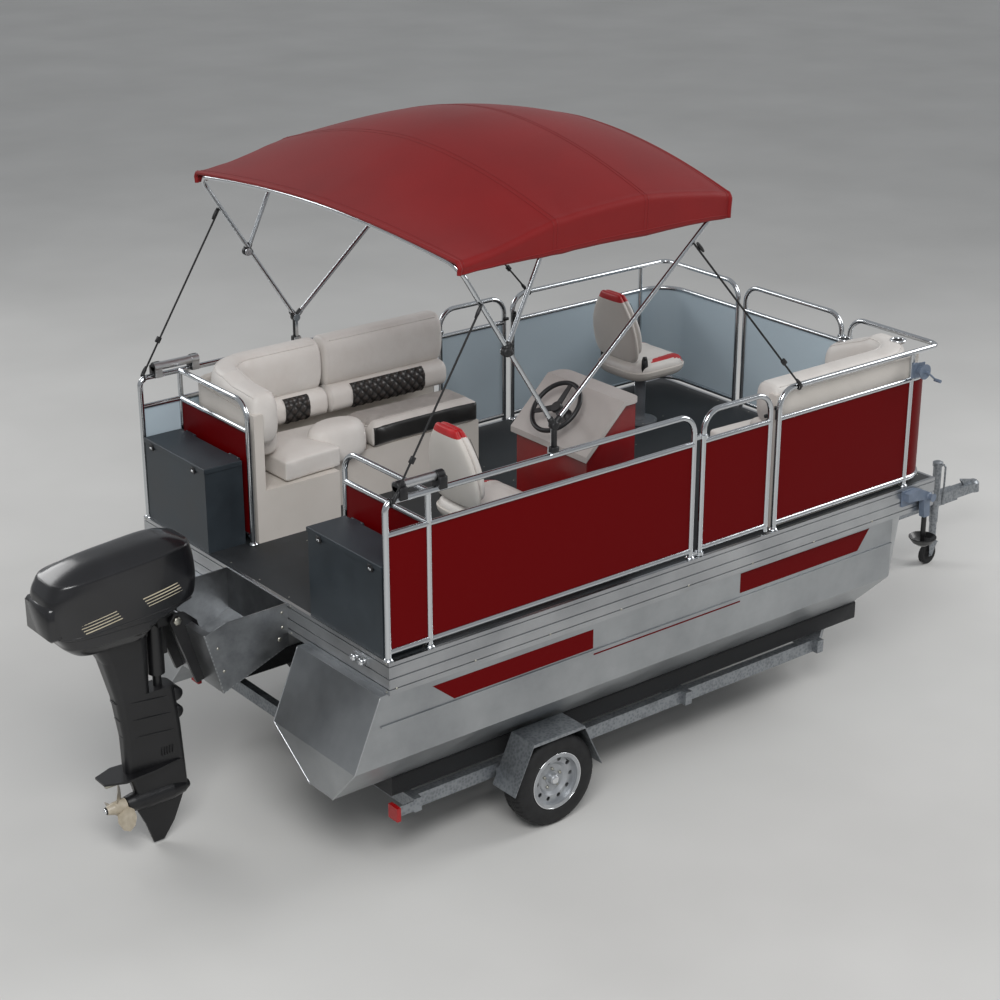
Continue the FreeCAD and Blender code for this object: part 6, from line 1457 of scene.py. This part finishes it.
dress(lens, "trailer_lamps")
rubber = coating("tyre_rubber", "#161617", 0.72, mottle=(24.0, 6.0),
                 tones=[(0.3, "#111112"), (0.75, "#1F1F20")], grain=(600.0, 2.0, 0.3, 0.0003))
dress(rubber, "jack_wheel")
silver = coating("silver_wheel_paint", "#A9ACB0", 0.34, mottle=(14.0, 5.0),
                 tones=[(0.3, "#9EA1A5"), (0.7, "#B5B8BB")], Metallic=0.55, Coat_Weight=0.2)
dress(silver, "rim_left", "rim_right")

# trailer tyres: four grooved ribs, siped blocks and raised rings on the walls
TYRE_R, TRACK_HALF = 0.270, 1.117
TREAD_R, TREAD_HALF = 0.2692, 0.0425
GROOVES, GROOVE_WIDE, GROOVE_DEEP = (-0.033, -0.011, 0.011, 0.033), 0.0022, 0.0062
NUT_CIRCLE, NUT_OUT = 0.057, 0.0225
SIPES = 48                              # grooves across the tread
WALL_RINGS, RING_WIDE, RING_PROUD = (0.198, 0.232), 0.0018, 0.0012


def tyre_skin(middle):
    """Profile of the tyre turned once round its axle, with blocks cut by grooves along and across."""
    profile = np.array([(-0.0585, 0.157), (-0.070, 0.163), (-0.0765, 0.173), (-0.0805, 0.190),
                        (-0.0822, 0.207), (-0.0815, 0.222), (-0.0790, 0.238), (-0.0745, 0.252),
                        (-0.0665, 0.2615), (-0.058, 0.2655), (-0.0425, 0.2685)])
    tread = np.stack([np.linspace(-TREAD_HALF, TREAD_HALF, 45)[1:-1], np.full(43, TREAD_R)], axis=1)
    walls = np.vstack([profile, tread, profile[::-1] * np.array([-1, 1])])
    turns = np.linspace(0, 2 * np.pi, 360, endpoint=False)[:, None]
    width, radius = walls[None, :, 0], walls[None, :, 1]
    groove = np.max([bell(width, place, GROOVE_WIDE, 4) for place in GROOVES], axis=0)
    sipe = (np.cos(turns * SIPES + width * 60.0) > 0.86) * (np.abs(width) > 0.014) * (radius > 0.2600)
    rings = RING_PROUD * sum(bell(radius, place, RING_WIDE) for place in WALL_RINGS)
    cut = radius - GROOVE_DEEP * np.maximum(groove * (radius > 0.262), sipe)
    bulge = width + np.sign(width) * rings * (np.abs(width) > 0.060)
    return np.stack([cut * np.sin(turns) + 0 * bulge, bulge + 0 * turns, cut * np.cos(turns)],
                    axis=-1) + middle


for way, name in ((1, "left"), (-1, "right")):
    body_name = f"wheel_{name}_body"
    middle = np.array([0.0, way * TRACK_HALF, TYRE_R])
    skin = tyre_skin(middle)
    inner = np.linspace(skin[:, 0], skin[:, -1], 6, axis=1)[:, 1:-1]
    closed = np.concatenate([skin, inner[:, ::-1]], axis=1)
    tyre_piece = mesh_piece(f"tyre_{name}_tread", closed.reshape(-1, 3),
                            grid_faces(360, closed.shape[1], True, True), rubber, body_name, "tyre")
    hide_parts(f"tyre_{name}")
    nuts, lips = [], []
    for angle in np.radians(np.arange(0, 360, 72) + 18):
        spot = middle + np.array([NUT_CIRCLE * math.cos(angle), way * NUT_OUT,
                                  NUT_CIRCLE * math.sin(angle)])
        nuts.append(turned([(0.0, 0.0), (0.0, 0.0095), (0.013, 0.0090), (0.018, 0.006), (0.018, 0.0)],
                           spot, (0, way, 0), 6))
    circle = np.linspace(0, 2 * np.pi, 97)
    for radius, proud in ((0.1645, 0.0755), (0.1540, 0.0700)):
        ring = middle + np.stack([radius * np.sin(circle), np.full(97, way * proud),
                                  radius * np.cos(circle)], axis=1)
        lips.append(tube(ring, 0.0030, 8))
    cap = turned([(0.062, 0.0), (0.062, 0.0245), (0.0655, 0.0225), (0.0680, 0.014), (0.0690, 0.0)],
                 middle, (0, way, 0), 32)
    valve = tube(middle + np.array([[0.128 * 0.7, way * y, 0.128 * 0.7] for y in (0.040, 0.052, 0.066)]),
                 0.0036, 8)
    mesh_piece(f"wheel_{name}_nuts", *joined(nuts), zinc, body_name, "rim")
    mesh_piece(f"wheel_{name}_lips", *joined(lips + [cap]), chrome, body_name, "rim")
    mesh_piece(f"wheel_{name}_valve", *valve, nylon, body_name, "black_plastic")

# ---------------------------------------------------------------- davit and anchor
# The folded aluminium davit is bolted on the bow rail; the cast anchor hangs in it, dipped in vinyl.
davit_paint = coating("blue_grey_powder_coat", "#6A7688", 0.40, mottle=(12.0, 4.0),
                      tones=[(0.3, "#606C7D"), (0.7, "#748092")], grain=(260.0, 3.0, 0.12, 0.0003))
dress(davit_paint, "anchor_davit")
anchor_skin = coating("vinyl_dipped_anchor", "#121213", 0.4, grain=(90.0, 4.0, 0.3, 0.0008),
                      Coat_Weight=0.2)
dress(anchor_skin, "anchor")
